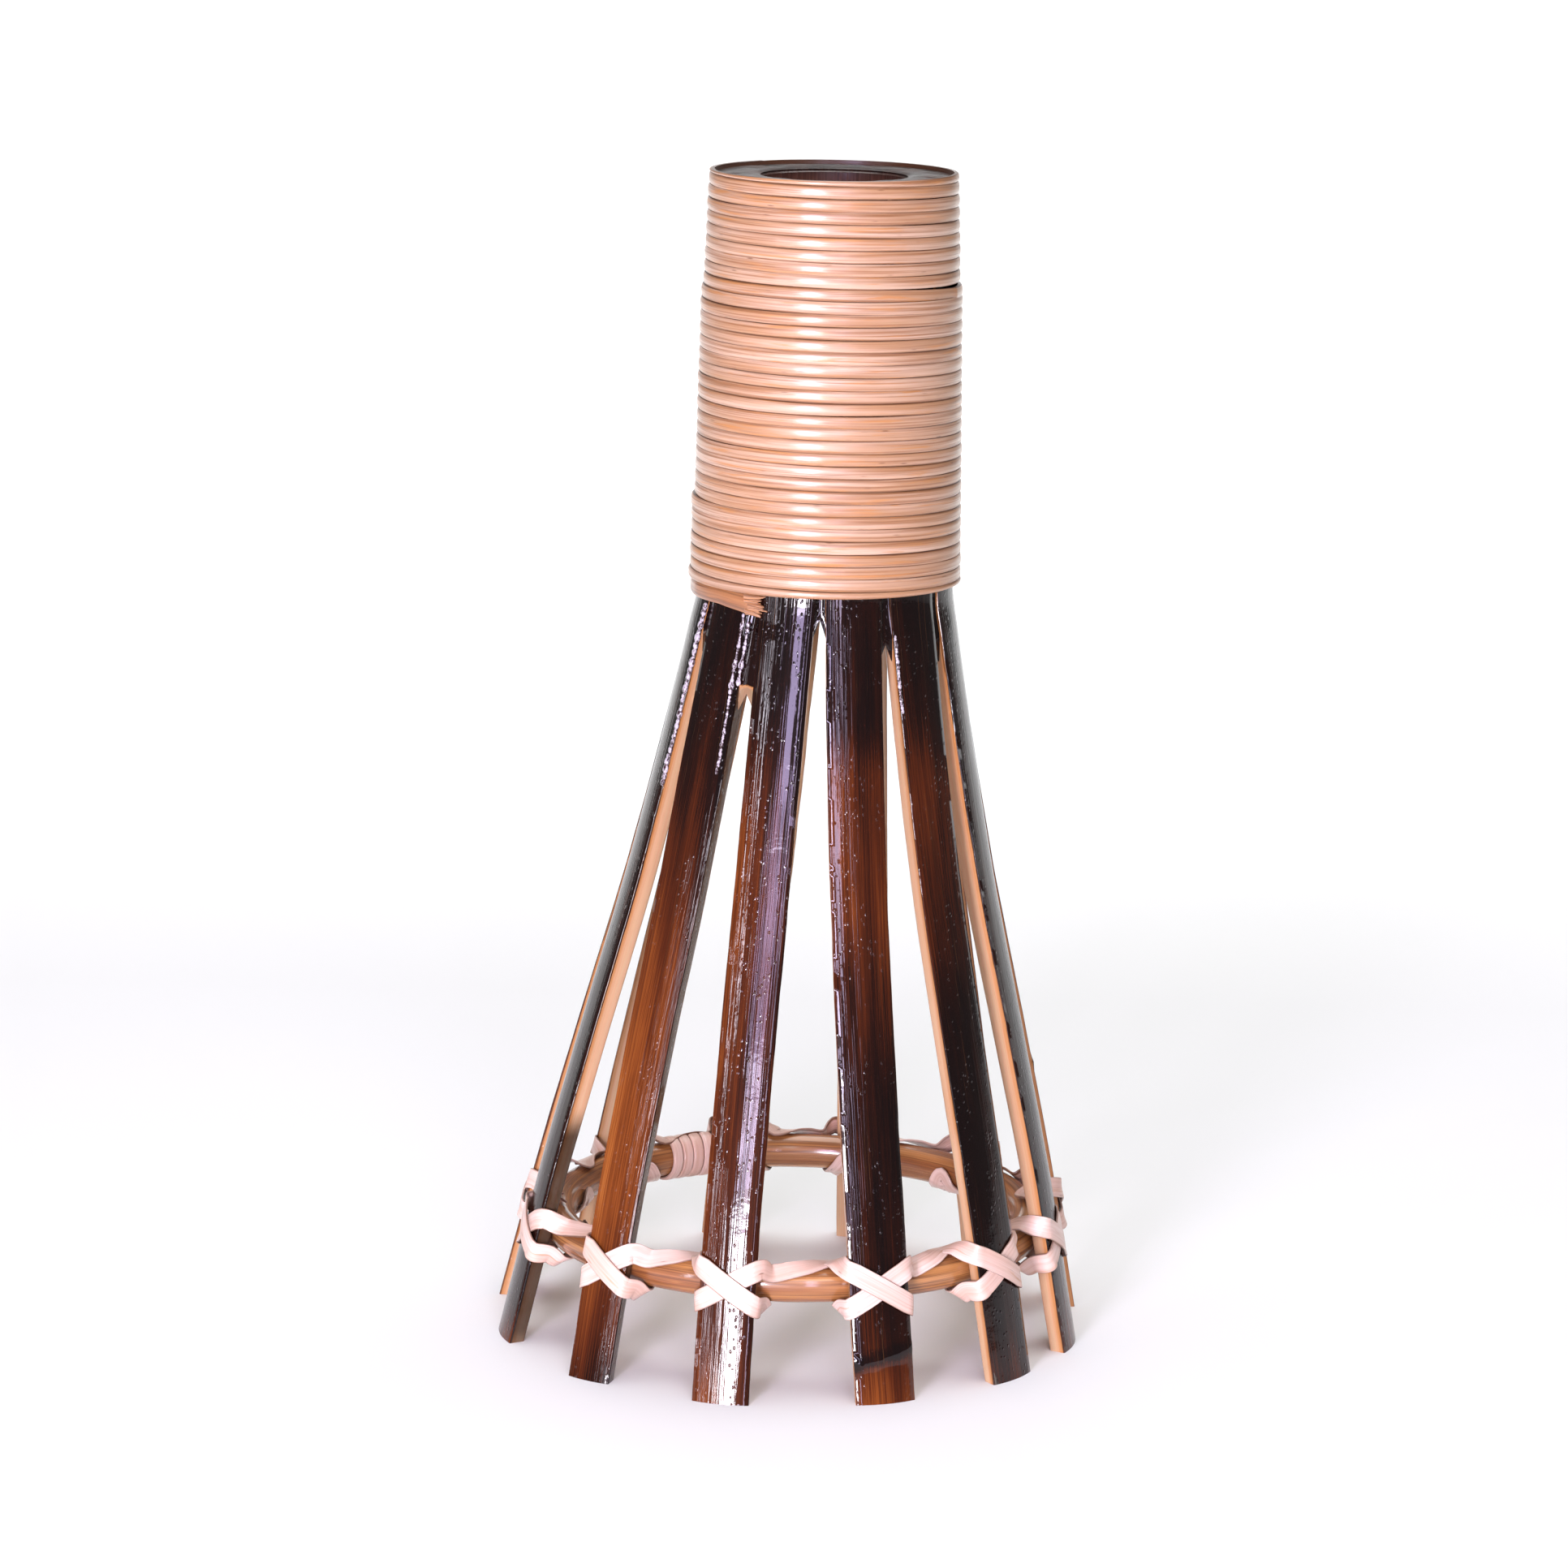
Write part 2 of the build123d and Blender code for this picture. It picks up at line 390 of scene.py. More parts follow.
@dataclass(frozen=True)
class Cane:
    """Split or round cane under clear lacquer, with long fibres, orange streaks, brown specks, and darkening where the
    grain's third value is high: dirt and painted shade in grooves, painted shade at strip edges and undersides.
    """

    name: str
    pale: Colour
    tan: Colour
    streak: Colour
    blot: Colour = rgb(0.50, 0.20, 0.05)
    speck: Colour = rgb(0.14, 0.045, 0.014)
    # Colour and range of the darkening read from the grain's third value: dirt and painted shade in the winding's
    # grooves, painted shade on strip edges and undersides.
    dirt_and_shade: Colour = rgb(0.10, 0.035, 0.012)
    dirt_and_shade_from: float = 0.9
    dirt_and_shade_to: float = 0.2
    speck_share: float = 0.05
    coat: float = 0.45
    coat_roughness: float = 0.22
    streak_share: float = 0.85
    blot_from: float = 0.60
    fibre_depth: float = 0.035

    def build(self) -> Material:
        """Make the material.

        Returns:
            The material.
        """
        graph = Graph(self.name)
        grain = graph.attribute(GRAIN)
        depth = graph.add("ShaderNodeSeparateXYZ", {0: grain}).outputs["Z"]
        length = graph.noise(grain, (0.012, 0.25, 0.25), 3.0, 0.55)
        fibres = graph.noise(grain, (0.013, 1.5, 1.5), 4.0, 0.66)
        hairs = graph.noise(grain, (0.035, 4.0, 4.0), 3.0, 0.7)
        colour = graph.blend(graph.fit(length, 0.34, 0.64), self.pale, self.tan)
        colour = graph.blend(graph.fit(fibres, 0.42, 0.66, 0.0, self.streak_share), colour, self.streak)
        blots = graph.noise(grain, (0.05, 0.8, 0.8), 3.0, 0.6, 0.4)
        colour = graph.blend(graph.fit(blots, self.blot_from, self.blot_from + 0.16, 0.0, 0.75), colour, self.blot)
        colour = graph.blend(graph.fit(hairs, 0.54, 0.76, 0.0, 0.50), colour, self.streak, "MULTIPLY")
        cells = graph.cells(grain, (0.16, 0.9, 0.9))
        chosen = graph.fit(graph.noise(grain, (0.07, 0.5, 0.5), 2.0), 0.60 - self.speck_share, 0.70)
        specks = graph.calc("MULTIPLY", graph.fit(cells, 0.06, 0.24, 1.0, 0.0), chosen)
        colour = graph.blend(graph.calc("MULTIPLY", specks, 0.8), colour, self.speck)
        patchy = graph.calc("ADD", graph.fit(fibres, 0.3, 0.7, -0.07, 0.07), graph.fit(length, 0.3, 0.7, -0.12, 0.10))
        # Darker where the grain's third value is high: painted shade, with some dirt in the winding's grooves.
        dirt_and_shade_depth = graph.calc("ADD", depth, patchy)
        colour = graph.blend(graph.fit(dirt_and_shade_depth, self.dirt_and_shade_to, self.dirt_and_shade_from, 0.0, 0.92), colour, self.dirt_and_shade)
        relief = graph.bump(graph.noise(grain, (0.04, 1.3, 1.3), 2.0), 0.05)
        relief = graph.bump(fibres, self.fibre_depth, relief)
        relief = graph.bump(hairs, self.fibre_depth * 0.4, relief)
        graph.feed(
            graph.shader,
            {
                "Base Color": colour,
                "Roughness": graph.fit(hairs, 0.3, 0.75, 0.34, 0.52),
                "Normal": relief,
                "Coat Weight": self.coat,
                "Coat Roughness": self.coat_roughness,
                "Subsurface Weight": 0.06,
                "Subsurface Radius": (0.6, 0.3, 0.15),
                "Subsurface Scale": 0.001,
            },
        )
        return graph.material


@dataclass(frozen=True)
class LacqueredEnd:
    """End grain and bore of the core sleeve: dark stain and thick lacquer, browner down the bore."""

    name: str = "lacquered_end"
    black: Colour = rgb(0.008, 0.004, 0.004)
    brown: Colour = rgb(0.060, 0.020, 0.012)
    bore: Colour = rgb(0.20, 0.085, 0.055)
    vessel: Colour = rgb(0.10, 0.035, 0.015)

    def build(self, axis_x: float, top: float, bore_radius: float) -> Material:
        """Make the material.

        Args:
            axis_x: Where the sleeve's axis stands, in metres.
            top: Height of the end face, in metres.
            bore_radius: Radius of the bore, in metres.

        Returns:
            The material, which reads Object coordinates.
        """
        graph = Graph(self.name)
        place = graph.add("ShaderNodeTexCoord").outputs["Object"]
        centred = graph.add("ShaderNodeVectorMath", {0: place, 1: (axis_x, 0.0, top)}, operation="SUBTRACT").outputs[0]
        parts = graph.add("ShaderNodeSeparateXYZ", {0: centred})
        flat = graph.add("ShaderNodeVectorMath", {0: centred, 1: (1.0, 1.0, 0.0)}, operation="MULTIPLY").outputs[0]
        radius = graph.add("ShaderNodeVectorMath", {0: flat}, operation="LENGTH").outputs["Value"]
        below = graph.calc("MULTIPLY", parts.outputs["Z"], -1.0)

        dots = graph.fit(graph.cells(centred, (1500.0, 1500.0, 60.0)), 0.15, 0.45, 1.0, 0.0)
        clouds = graph.noise(centred, (120.0, 120.0, 25.0), 4.0, 0.6)
        fibres = graph.noise(centred, (1600.0, 1600.0, 22.0), 4.0, 0.6)
        end = graph.blend(graph.fit(clouds, 0.35, 0.7), self.black, self.brown)
        end = graph.blend(graph.calc("MULTIPLY", dots, 0.45), end, self.vessel)
        wall = graph.blend(graph.fit(fibres, 0.3, 0.7, 0.0, 0.7), self.bore, self.brown)
        near_wall = graph.fit(radius, bore_radius + 0.0001, bore_radius + 0.0012, 1.0, 0.0)
        inside = graph.calc("MULTIPLY", near_wall, graph.fit(below, 0.0003, 0.004))
        colour = graph.blend(inside, end, wall)
        relief = graph.bump(clouds, 0.25)
        relief = graph.bump(graph.calc("ADD", dots, fibres), 0.06, relief)
        graph.feed(
            graph.shader,
            {
                "Base Color": colour,
                "Roughness": graph.fit(clouds, 0.3, 0.7, 0.28, 0.48),
                "Normal": relief,
                "Coat Weight": 0.5,
                "Coat Roughness": 0.30,
            },
        )
        return graph.material


@dataclass(frozen=True)
class BubbledLacquer:
    """Beads of lacquer, dark and clear in places and elsewhere a lilac-white painted glint, with a hard shine."""

    name: str = "bubbled_lacquer"
    # Lilac-white painted glint: the beads' catchlights painted into their colour.
    painted_glint: Colour = rgb(0.52, 0.45, 0.52)
    clear: Colour = rgb(0.05, 0.025, 0.03)

    def build(self) -> Material:
        """Make the material.

        Returns:
            The material.
        """
        graph = Graph(self.name)
        place = graph.add("ShaderNodeTexCoord").outputs["Object"]
        cloud = graph.noise(place, (1400.0, 1400.0, 900.0), 2.0)
        # Patches of painted glint over the dark, clear lacquer.
        colour = graph.blend(graph.fit(cloud, 0.40, 0.58), self.clear, self.painted_glint)
        graph.feed(
            graph.shader,
            {
                "Base Color": colour,
                "Roughness": graph.fit(cloud, 0.3, 0.7, 0.12, 0.3),
                "Normal": graph.bump(cloud, 0.05),
                "Coat Weight": 1.0,
                "Coat Roughness": 0.04,
            },
        )
        return graph.material


@dataclass(frozen=True)
class PlainFloor:
    """Matt white sweep under the torch head."""

    name: str = "plain_floor"
    colour: Colour = rgb(0.86, 0.86, 0.86)

    def build(self) -> Material:
        """Make the material.

        Returns:
            The material.
        """
        graph = Graph(self.name)
        place = graph.add("ShaderNodeTexCoord").outputs["Object"]
        tone = graph.noise(place, (3.0, 3.0, 3.0), 2.0)
        colour = graph.blend(graph.fit(tone, 0.3, 0.7, 0.0, 0.03), self.colour, rgb(0.80, 0.80, 0.80))
        graph.feed(graph.shader, {"Base Color": colour, "Roughness": 0.85})
        return graph.material


# --- mesh work ----------------------------------------------------------------------------------
@dataclass(frozen=True)
class Spot:
    """Where a vertex goes, and what the finish reads there."""

    place: Vector
    grain: Triple
    stain: float = 0.0


def strand_outline(width: float, height: float, arch: float, steps: int = 8) -> list[Pair]:
    """Outline of a split strand: short side walls under a low arch.

    Args:
        width: Width of the strand.
        height: Height of the arch's crown over the flat side.
        arch: How much lower the arch ends at the side walls.
        steps: Points over the arch.

    Returns:
        Points across and outwards from the middle of the flat side, once round.
    """
    top = []
    for i in range(steps + 1):
        x = math.cos(math.pi * i / steps)
        top.append((0.5 * width * x, height - arch * abs(x) ** 3.2))
    return top + [(-0.5 * width, 0.0), (-0.25 * width, 0.0), (0.25 * width, 0.0), (0.5 * width, 0.0)]


def strip_outline(width: float, thickness: float, crown: float) -> list[Pair]:
    """Outline of a flat strip with eased edges and a slightly crowned outer face.

    Args:
        width: Width of the strip.
        thickness: Thickness at its edges.
        crown: Extra height in the middle.

    Returns:
        Points across and outwards from the middle of the underside, once round.
    """
    half = 0.5 * width
    ease = 0.3 * thickness
    flat = half - ease
    top = [(flat * math.cos(math.pi * i / 6), 0.0) for i in range(7)]
    top = [(x, thickness + crown * (1 - (x / half) ** 2)) for x, _ in top]
    low = [(-flat * math.cos(math.pi * i / 3), 0.0) for i in range(4)]
    return top + [(-half, thickness - ease), (-half, ease)] + low + [(half, ease), (half, thickness - ease)]


class Blank:
    """A mesh under work whose vertices remember the section point they came from."""

    def __init__(self) -> None:
        """Start an empty mesh with the values that the finishes read."""
        self.mesh = bmesh.new()
        self.grain = self.mesh.verts.layers.float_vector.new(GRAIN)
        self.stain = self.mesh.verts.layers.float.new(STAIN)
        self.section = self.mesh.verts.layers.float_vector.new("section")

    def set_spot(self, vert: Any, spot: Spot) -> None:
        """Put one vertex in place with its grain and stain.

        Args:
            vert: The vertex.
            spot: Where it goes and what the finish reads there.
        """
        vert.co = spot.place
        vert[self.grain] = Vector(spot.grain)
        vert[self.stain] = spot.stain

    def spin(self, outline: Outline, steps: int, start: Any, put: Any) -> None:
        """Spin an outline round the upright axis into a closed ring.

        Args:
            outline: The section's points, once round.
            steps: Steps round the axis.
            start: Method that gives the place where a section point starts.
            put: Method that gives the Spot of a section point, from its place in the even ring.
        """
        verts = bmesh.ops.create_circle(self.mesh, segments=len(outline), radius=1.0)["verts"]
        for vert, (x, y) in zip(verts, outline):
            vert[self.section] = Vector((x, y, 0.0))
            vert.co = start(x, y)
        loop = list({edge for vert in verts for edge in vert.link_edges})
        bmesh.ops.spin(
            self.mesh,
            geom=verts + loop,
            cent=(0, 0, 0),
            axis=(0, 0, 1),
            angle=math.tau,
            steps=steps,
            use_merge=True,
        )
        for vert in self.mesh.verts:
            x, y, _ = vert[self.section]
            self.set_spot(vert, put(x, y, vert.co.copy()))

    def sweep(self, outline: Outline, stations: Sequence[Any], put: Any) -> None:
        """Roll a grid into a tube along stations, weld its seam and close both ends.

        Args:
            outline: The section's points, once round.
            stations: What the placing method needs at each stop.
            put: Method that gives the Spot of a section point at a station.
        """
        long, round_ = len(stations) - 1, len(outline)
        grid = bmesh.ops.create_grid(self.mesh, x_segments=long, y_segments=round_, size=1.0)["verts"]
        seam = []
        for vert in grid:
            stop = round((vert.co.x + 1) / 2 * long)
            corner = round((vert.co.y + 1) / 2 * round_)
            if corner in (0, round_):
                seam.append(vert)
            x, y = outline[corner % round_]
            self.set_spot(vert, put(x, y, stations[stop]))
        bmesh.ops.remove_doubles(self.mesh, verts=seam, dist=1e-9)
        own = {vert for vert in grid if vert.is_valid}
        rims = [edge for edge in self.mesh.edges if edge.is_boundary and own.issuperset(edge.verts)]
        bmesh.ops.holes_fill(self.mesh, edges=rims, sides=0)

    def finish(
        self,
        name: str,
        material: Material,
        slot: Slot,
        nodes: Sequence[str] = (),
        crease_degrees: float = 55.0,
    ) -> None:
        """slot: The record's slot that the finish belongs to; not used.
            nodes: CAD nodes that the piece stands for.
            crease_degrees: Edges sharper than this stay sharp.
        """
        self.mesh.verts.layers.float_vector.remove(self.section)
        bmesh.ops.recalc_face_normals(self.mesh, faces=self.mesh.faces[:])
        data = bpy.data.meshes.new(name)
        self.mesh.to_mesh(data)
        self.mesh.free()
        data.shade_smooth()
        data.set_sharp_from_angle(angle=math.radians(crease_degrees))
        data.materials.append(material)
        piece = bpy.data.objects.new(name, data)
        bpy.context.scene.collection.objects.link(piece)
        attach(piece, BODY)
        if nodes:
            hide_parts(*nodes)
        log.info("%s: %d faces", name, len(data.polygons))


# --- the torch head -----------------------------------------------------------------------------
@dataclass(frozen=True)
class Axis:
    """The leaning centre line: upright in the collar, then running back to the middle of the feet."""

    collar_x: float = 6.0
    collar_foot: float = 187.0

    def centre(self, height: float) -> Vector:
        """Centre of the torch head at a height, in millimetres."""
        return Vector((self.collar_x * min(height / self.collar_foot, 1.0), 0.0, height))

    def spread(self, height: float) -> float:
        """How far down the splay a height lies, from 0 in the collar to 1 at the feet."""
        return 1 - min(height / self.collar_foot, 1.0)


AXIS = Axis()
UP = Vector((0.0, 0.0, 1.0))


def outward(angle: float) -> Vector:
    """Direction away from the axis, for an angle in degrees that is 0 at the front and grows to the right."""
    return Vector((math.sin(math.radians(angle)), -math.cos(math.radians(angle)), 0.0))


def sideways(angle: float) -> Vector:
    """Direction round the axis, towards growing angles."""
    return Vector((math.cos(math.radians(angle)), math.sin(math.radians(angle)), 0.0))


@dataclass(frozen=True)
class Knot:
    """The ring scar of a bamboo joint across a stave."""

    height: float
    slant: float
    rise: float = 0.35
    reach: float = 1.3


@dataclass(frozen=True)
class Stave:
    """One split-bamboo stave, held upright in the collar and bent outwards below it; millimetres and degrees."""

    number: int
    foot_angle: float
    foot_width: float
    stain: tuple[Pair, ...]
    right_darker: float = 0.0
    twist: float = 0.0
    sealed: float = 0.0
    sealed_below: float = 300.0
    sealed_fade: float = 15.0
    twist_reach: float = 45.0
    knot: Knot | None = None
    first_angle: float = -77.1
    pitch: float = 30.0
    head_top: float = 285.3
    head_width: float = 13.8
    skin_radius: float = 28.4
    side_draft: float = 15.0
    face_turn: float = 3.0
    station: float = 1.2
    crown: tuple[Pair, ...] = (
        (0.0, 74.1), (40.0, 65.2), (75.0, 56.4), (120.0, 44.9), (176.0, 33.1), (187.0, 31.2), (285.3, 28.5),
    )
    depth: tuple[Pair, ...] = (
        (0.0, 4.8), (40.0, 5.1), (75.0, 5.4), (120.0, 5.7), (176.0, 5.8), (285.3, 5.8),
    )

    @property
    def name(self) -> str:
        """The CAD node that this stave stands for."""
        return f"stave_{self.number:02d}"

    def angle(self, height: float) -> float:
        """Where the stave stands round the axis."""
        head = self.first_angle + self.pitch * (self.number - 1)
        return head + (self.foot_angle - head) * AXIS.spread(height)

    def facing(self, height: float) -> float:
        """Turn the skin to the splay and to the stave's own twist.

        Args:
            height: Height above the feet.

        Returns:
            The angle round the axis that the skin faces.
        """
        angle = self.angle(height)
        turn = self.face_turn * math.sin(math.radians(angle)) * AXIS.spread(height)
        return angle + turn + self.twist * min(max(AXIS.collar_foot - height, 0.0) / self.twist_reach, 1.0)

    def width(self, height: float) -> float:
        """Width across the skin."""
        return self.head_width + (self.foot_width - self.head_width) * AXIS.spread(height)

    def skin_drop(self, across: float) -> float:
        """How far the round skin falls away at a distance from its crown."""
        return self.skin_radius - math.sqrt(self.skin_radius**2 - across**2)

    def point(self, across: float, outwards: float, height: float) -> Vector:
        """A point beside the crown of the skin, in millimetres."""
        crown = AXIS.centre(height) + outward(self.angle(height)) * ease_through(self.crown, height)
        return crown + sideways(self.facing(height)) * across + outward(self.facing(height)) * outwards

    def on_skin(self, across: float, height: float, lift: float) -> Placed:
        """A point over the skin and the direction straight out of the skin there.

        Args:
            across: Distance from the crown of the skin.
            height: Height above the feet.
            lift: Distance off the skin.

        Returns:
            The point in millimetres, and the unit normal.
        """
        turn = math.degrees(math.asin(across / self.skin_radius))
        slope = (ease_through(self.crown, height - 2) - ease_through(self.crown, height + 2)) / 4
        normal = (outward(self.facing(height) + turn) + UP * slope).normalized()
        return self.point(across, -self.skin_drop(across), height) + normal * lift, normal

    def spot(self, share: float, depth_share: float, height: float) -> Spot:
        """Place a section point of the stave.

        Args:
            share: Place across, from -1 at the left edge to 1 at the right edge.
            depth_share: Depth, from 0 at the skin to 1 at the pith.
            height: Height above the feet.

        Returns:
            The vertex's place, grain and stain.
        """
        seed = self.number + (0.4 if share > 0 else 0.0)
        edge = abs(share) ** 4
        waver = edge * (0.16 * wander(height, seed, 17) + 0.07 * wander(height, seed + 50, 3.5))
        half = 0.5 * self.width(height) + min(waver, 0.05)
        thick = ease_through(self.depth, height) + (0.12 * wander(height, seed + 20, 25) - 0.1) * depth_share
        edge_y = -self.skin_drop(half)
        skin_y = -self.skin_drop(share * half)
        outwards = skin_y - depth_share * (thick + skin_y)
        below = max(edge_y - outwards, 0.0)
        across = share * (half - below * math.tan(math.radians(self.side_draft)))
        dark = ease_through(self.stain, height) + self.right_darker * share
        if self.knot is not None:
            off = (height - self.knot.height - self.knot.slant * across) / self.knot.reach
            band = math.exp(-off * off) * (1 - depth_share)
            outwards += self.knot.rise * band - self.knot.rise
            dark += 0.6 * band + (-0.15 if off < 0 else 0.0)
        outwards += (0.05 * wander(height, seed + 30, 9) - 0.05) * (1 - depth_share)
        depth = -self.skin_drop(across) - outwards if depth_share > 0 else 0.0
        place = self.point(across, outwards, height) * MM
        dark = min(max(dark, 0.0), 1.0)
        if share > 0 and depth_share > 0:
            dark += self.sealed * min(max((self.sealed_below - height) / self.sealed_fade, 0.0), 1.0)
        return Spot(place, (height + 300 * self.number, across, max(depth, 0.0)), dark)

    def outline(self) -> list[Pair]:
        """Draw the section, with the points closest together at its four eased corners.

        Returns:
            Section points as shares across and deep, once round.
        """
        skin = [(-0.975 + 1.95 * i / 10, 0.0) for i in range(11)]
        right = [(1.0, 0.045), (1.0, 0.12), (1.0, 0.3), (1.0, 0.6), (1.0, 0.88), (0.98, 0.975)]
        pith = [(0.93 - 1.86 * i / 5, 1.0) for i in range(6)]
        left = [(-share, depth) for share, depth in reversed(right)]
        return skin + right + pith + left

    def build(self, finish: Material) -> None:
        """Make the stave from head to foot.

        Args:
            finish: The stained bamboo.
        """
        count = round(self.head_top / self.station)
        heights = [self.head_top * (1 - i / count) for i in range(count + 1)]
        blank = Blank()
        blank.sweep(self.outline(), heights, self.spot)
        blank.finish(f"split_{self.name}", finish, Slot.STAVE, [self.name])


@dataclass(frozen=True)
class CollarBinding:
    """Half-round cane wound round the stave heads in two lengths, with a frayed tail; millimetres and degrees."""

    top: float = 286.5
    pitch: float = 3.0
    turns: float = 33.0
    join: float = 9.617
    steps: int = 72
    upper_crests: Pair = (30.0, 31.1)
    lower_crests: Pair = (31.6, 32.9)
    strand_height: float = 1.25
    arch: float = 0.38
    start_angle: float = -150.0
    fill: float = 0.985
    thinnest: float = 0.12
    mean_radius: float = 31.0
    join_slip: float = 0.75
    loose_turns: float = 6.0
    tail_from: float = -128.0
    tail_to: float = -28.0
    tail_radius: float = 31.75
    tail_height: float = 184.9
    tail_cut: float = 0.93
    tail_fibres: int = 13

    def crest(self, turn: float) -> float:
        """Follow the collar's taper, with a step up where the lower length starts.

        Args:
            turn: Turns wound from the top.

        Returns:
            Radius over the crests of the strand.
        """
        if turn < self.join:
            low, high = self.upper_crests
            return low + (high - low) * turn / self.join
        low, high = self.lower_crests
        return low + (high - low) * (turn - self.join) / (self.turns + 1 - self.join)

    def spot(self, across: float, rise: float, turn: float) -> Spot:
        """Place a section point of the winding.

        Args:
            across: Share of the strand's width, from -0.5 at its upper edge.
            rise: Height over the strand's flat side.
            turn: Turns wound from the top.

        Returns:
            The vertex's place, grain and stain.
        """
        angle = self.start_angle + 360 * turn
        upper = max(turn - 1, 0.0) * self.pitch
        lower = min(turn, self.turns) * self.pitch
        width = max((lower - upper) * self.fill, self.thinnest)
        run = turn * math.tau * self.mean_radius
        past = turn - self.join
        slip = self.join_slip * max(0.0, 1 - abs(past) / (0.17 if past < 0 else 0.5)) ** 1.5
        sway = 0.13 * wander(run, 3.0, 55) + 0.06 * wander(run, 4.0, 14)
        loose = 0.0
        if turn > self.turns - self.loose_turns:
            left = max(math.cos(math.radians(angle + 92)), 0.0) ** 14
            loose = 1.0 * left * (0.45 + 0.9 * abs(wander(run, 5.0, 60)))
        radius = self.crest(turn) - self.strand_height + rise * (1 + 0.10 * wander(run, 6.0, 40))
        radius += 0.08 * wander(run, 7.0, 35) + loose
        place = AXIS.centre(self.top) + outward(angle) * radius
        if not 1 < turn < self.turns:
            sway = 0.0
        place.z = min(self.top - 0.5 * (lower + upper) - across * width - slip + sway, self.top)
        # The third grain value is the depth below the strand's crown, so the finish darkens each turn's low edges:
        # dirt and painted shade in the grooves between turns.
        return Spot(place * MM, (run, across * width, self.strand_height - rise))

    def length(self, name: str, node: str, first: float, last: float, finish: Material) -> None:
        """Wind one length of cane.

        Args:
            name: The piece's name.
            node: The CAD node that it stands for.
            first: Turn at which it starts.
            last: Turn at which it ends.
            finish: The cane.
        """
        count = round((last - first) * self.steps)
        turns = [first + (last - first) * i / count for i in range(count + 1)]
        blank = Blank()
        blank.sweep(strand_outline(1.0, self.strand_height, self.arch, 10), turns, self.spot)
        blank.finish(name, finish, Slot.BINDING, [node])

    def tail_spot(self, across: float, rise: float, station: Triple) -> Spot:
        """Place a section point of the tail.

        Args:
            across: Distance across the strand.
            rise: Height over the strand's flat side.
            station: Share along the tail, shift across, and share of the full section.

        Returns:
            The vertex's place, grain and stain.
        """
        along, shift, size = station
        angle = self.tail_from + (self.tail_to - self.tail_from) * along
        lift = self.tail_radius + 0.3 * math.sin(along * 6.0) + 0.12 * wander(along, shift + 3, 0.1)
        middle = self.tail_height + 1.3 * along - 6.0 * max(along - 0.75, 0.0)
        place = AXIS.centre(AXIS.collar_foot) + outward(angle) * (lift + rise * size)
        place.z = middle - shift - across * size
        # Painted shade: the tail's underside is made darker than its top; the tail is also made darker towards the cut
        # end.
        dirt_and_shade_depth = 0.30 - 0.2 * rise + 0.25 * max(along - 0.6, 0.0)
        return Spot(place * MM, (along * 55.0 + 700, across + shift, dirt_and_shade_depth))

    def tail(self, finish: Material) -> None:
        """Make the tucked tail with the splayed fibres of its cut end.

        Args:
            finish: The darker cane of the tail.
        """
        blank = Blank()
        shares = [i / 60 for i in range(61)]
        stations = [(share * self.tail_cut, 0.0, 1.0 + 0.2 * share**4) for share in shares]
        blank.sweep(strand_outline(3.9, 1.1, 0.5), stations, self.tail_spot)
        for fibre in range(self.tail_fibres):
            shift = -2.1 + 0.35 * fibre
            reach = 0.075 + 0.05 * wander(fibre * 1.7, 2.0, 1.0)
            width = 0.27 + 0.08 * math.sin(fibre * 2.3)
            path = []
            for t in (0.0, 0.2, 0.4, 0.6, 0.8, 1.0):
                splay = shift * (1 + 0.25 * t * t) + 0.3 * wander(t, fibre + 0.5, 0.5) * t
                path.append((self.tail_cut - 0.01 + reach * t, splay, width * (1.1 - 0.7 * t)))
            blank.sweep(strand_outline(3.4, 4.2 + math.sin(fibre * 1.9), 1.2, 6), path, self.tail_spot)
        blank.finish("frayed_tail", finish, Slot.BINDING)


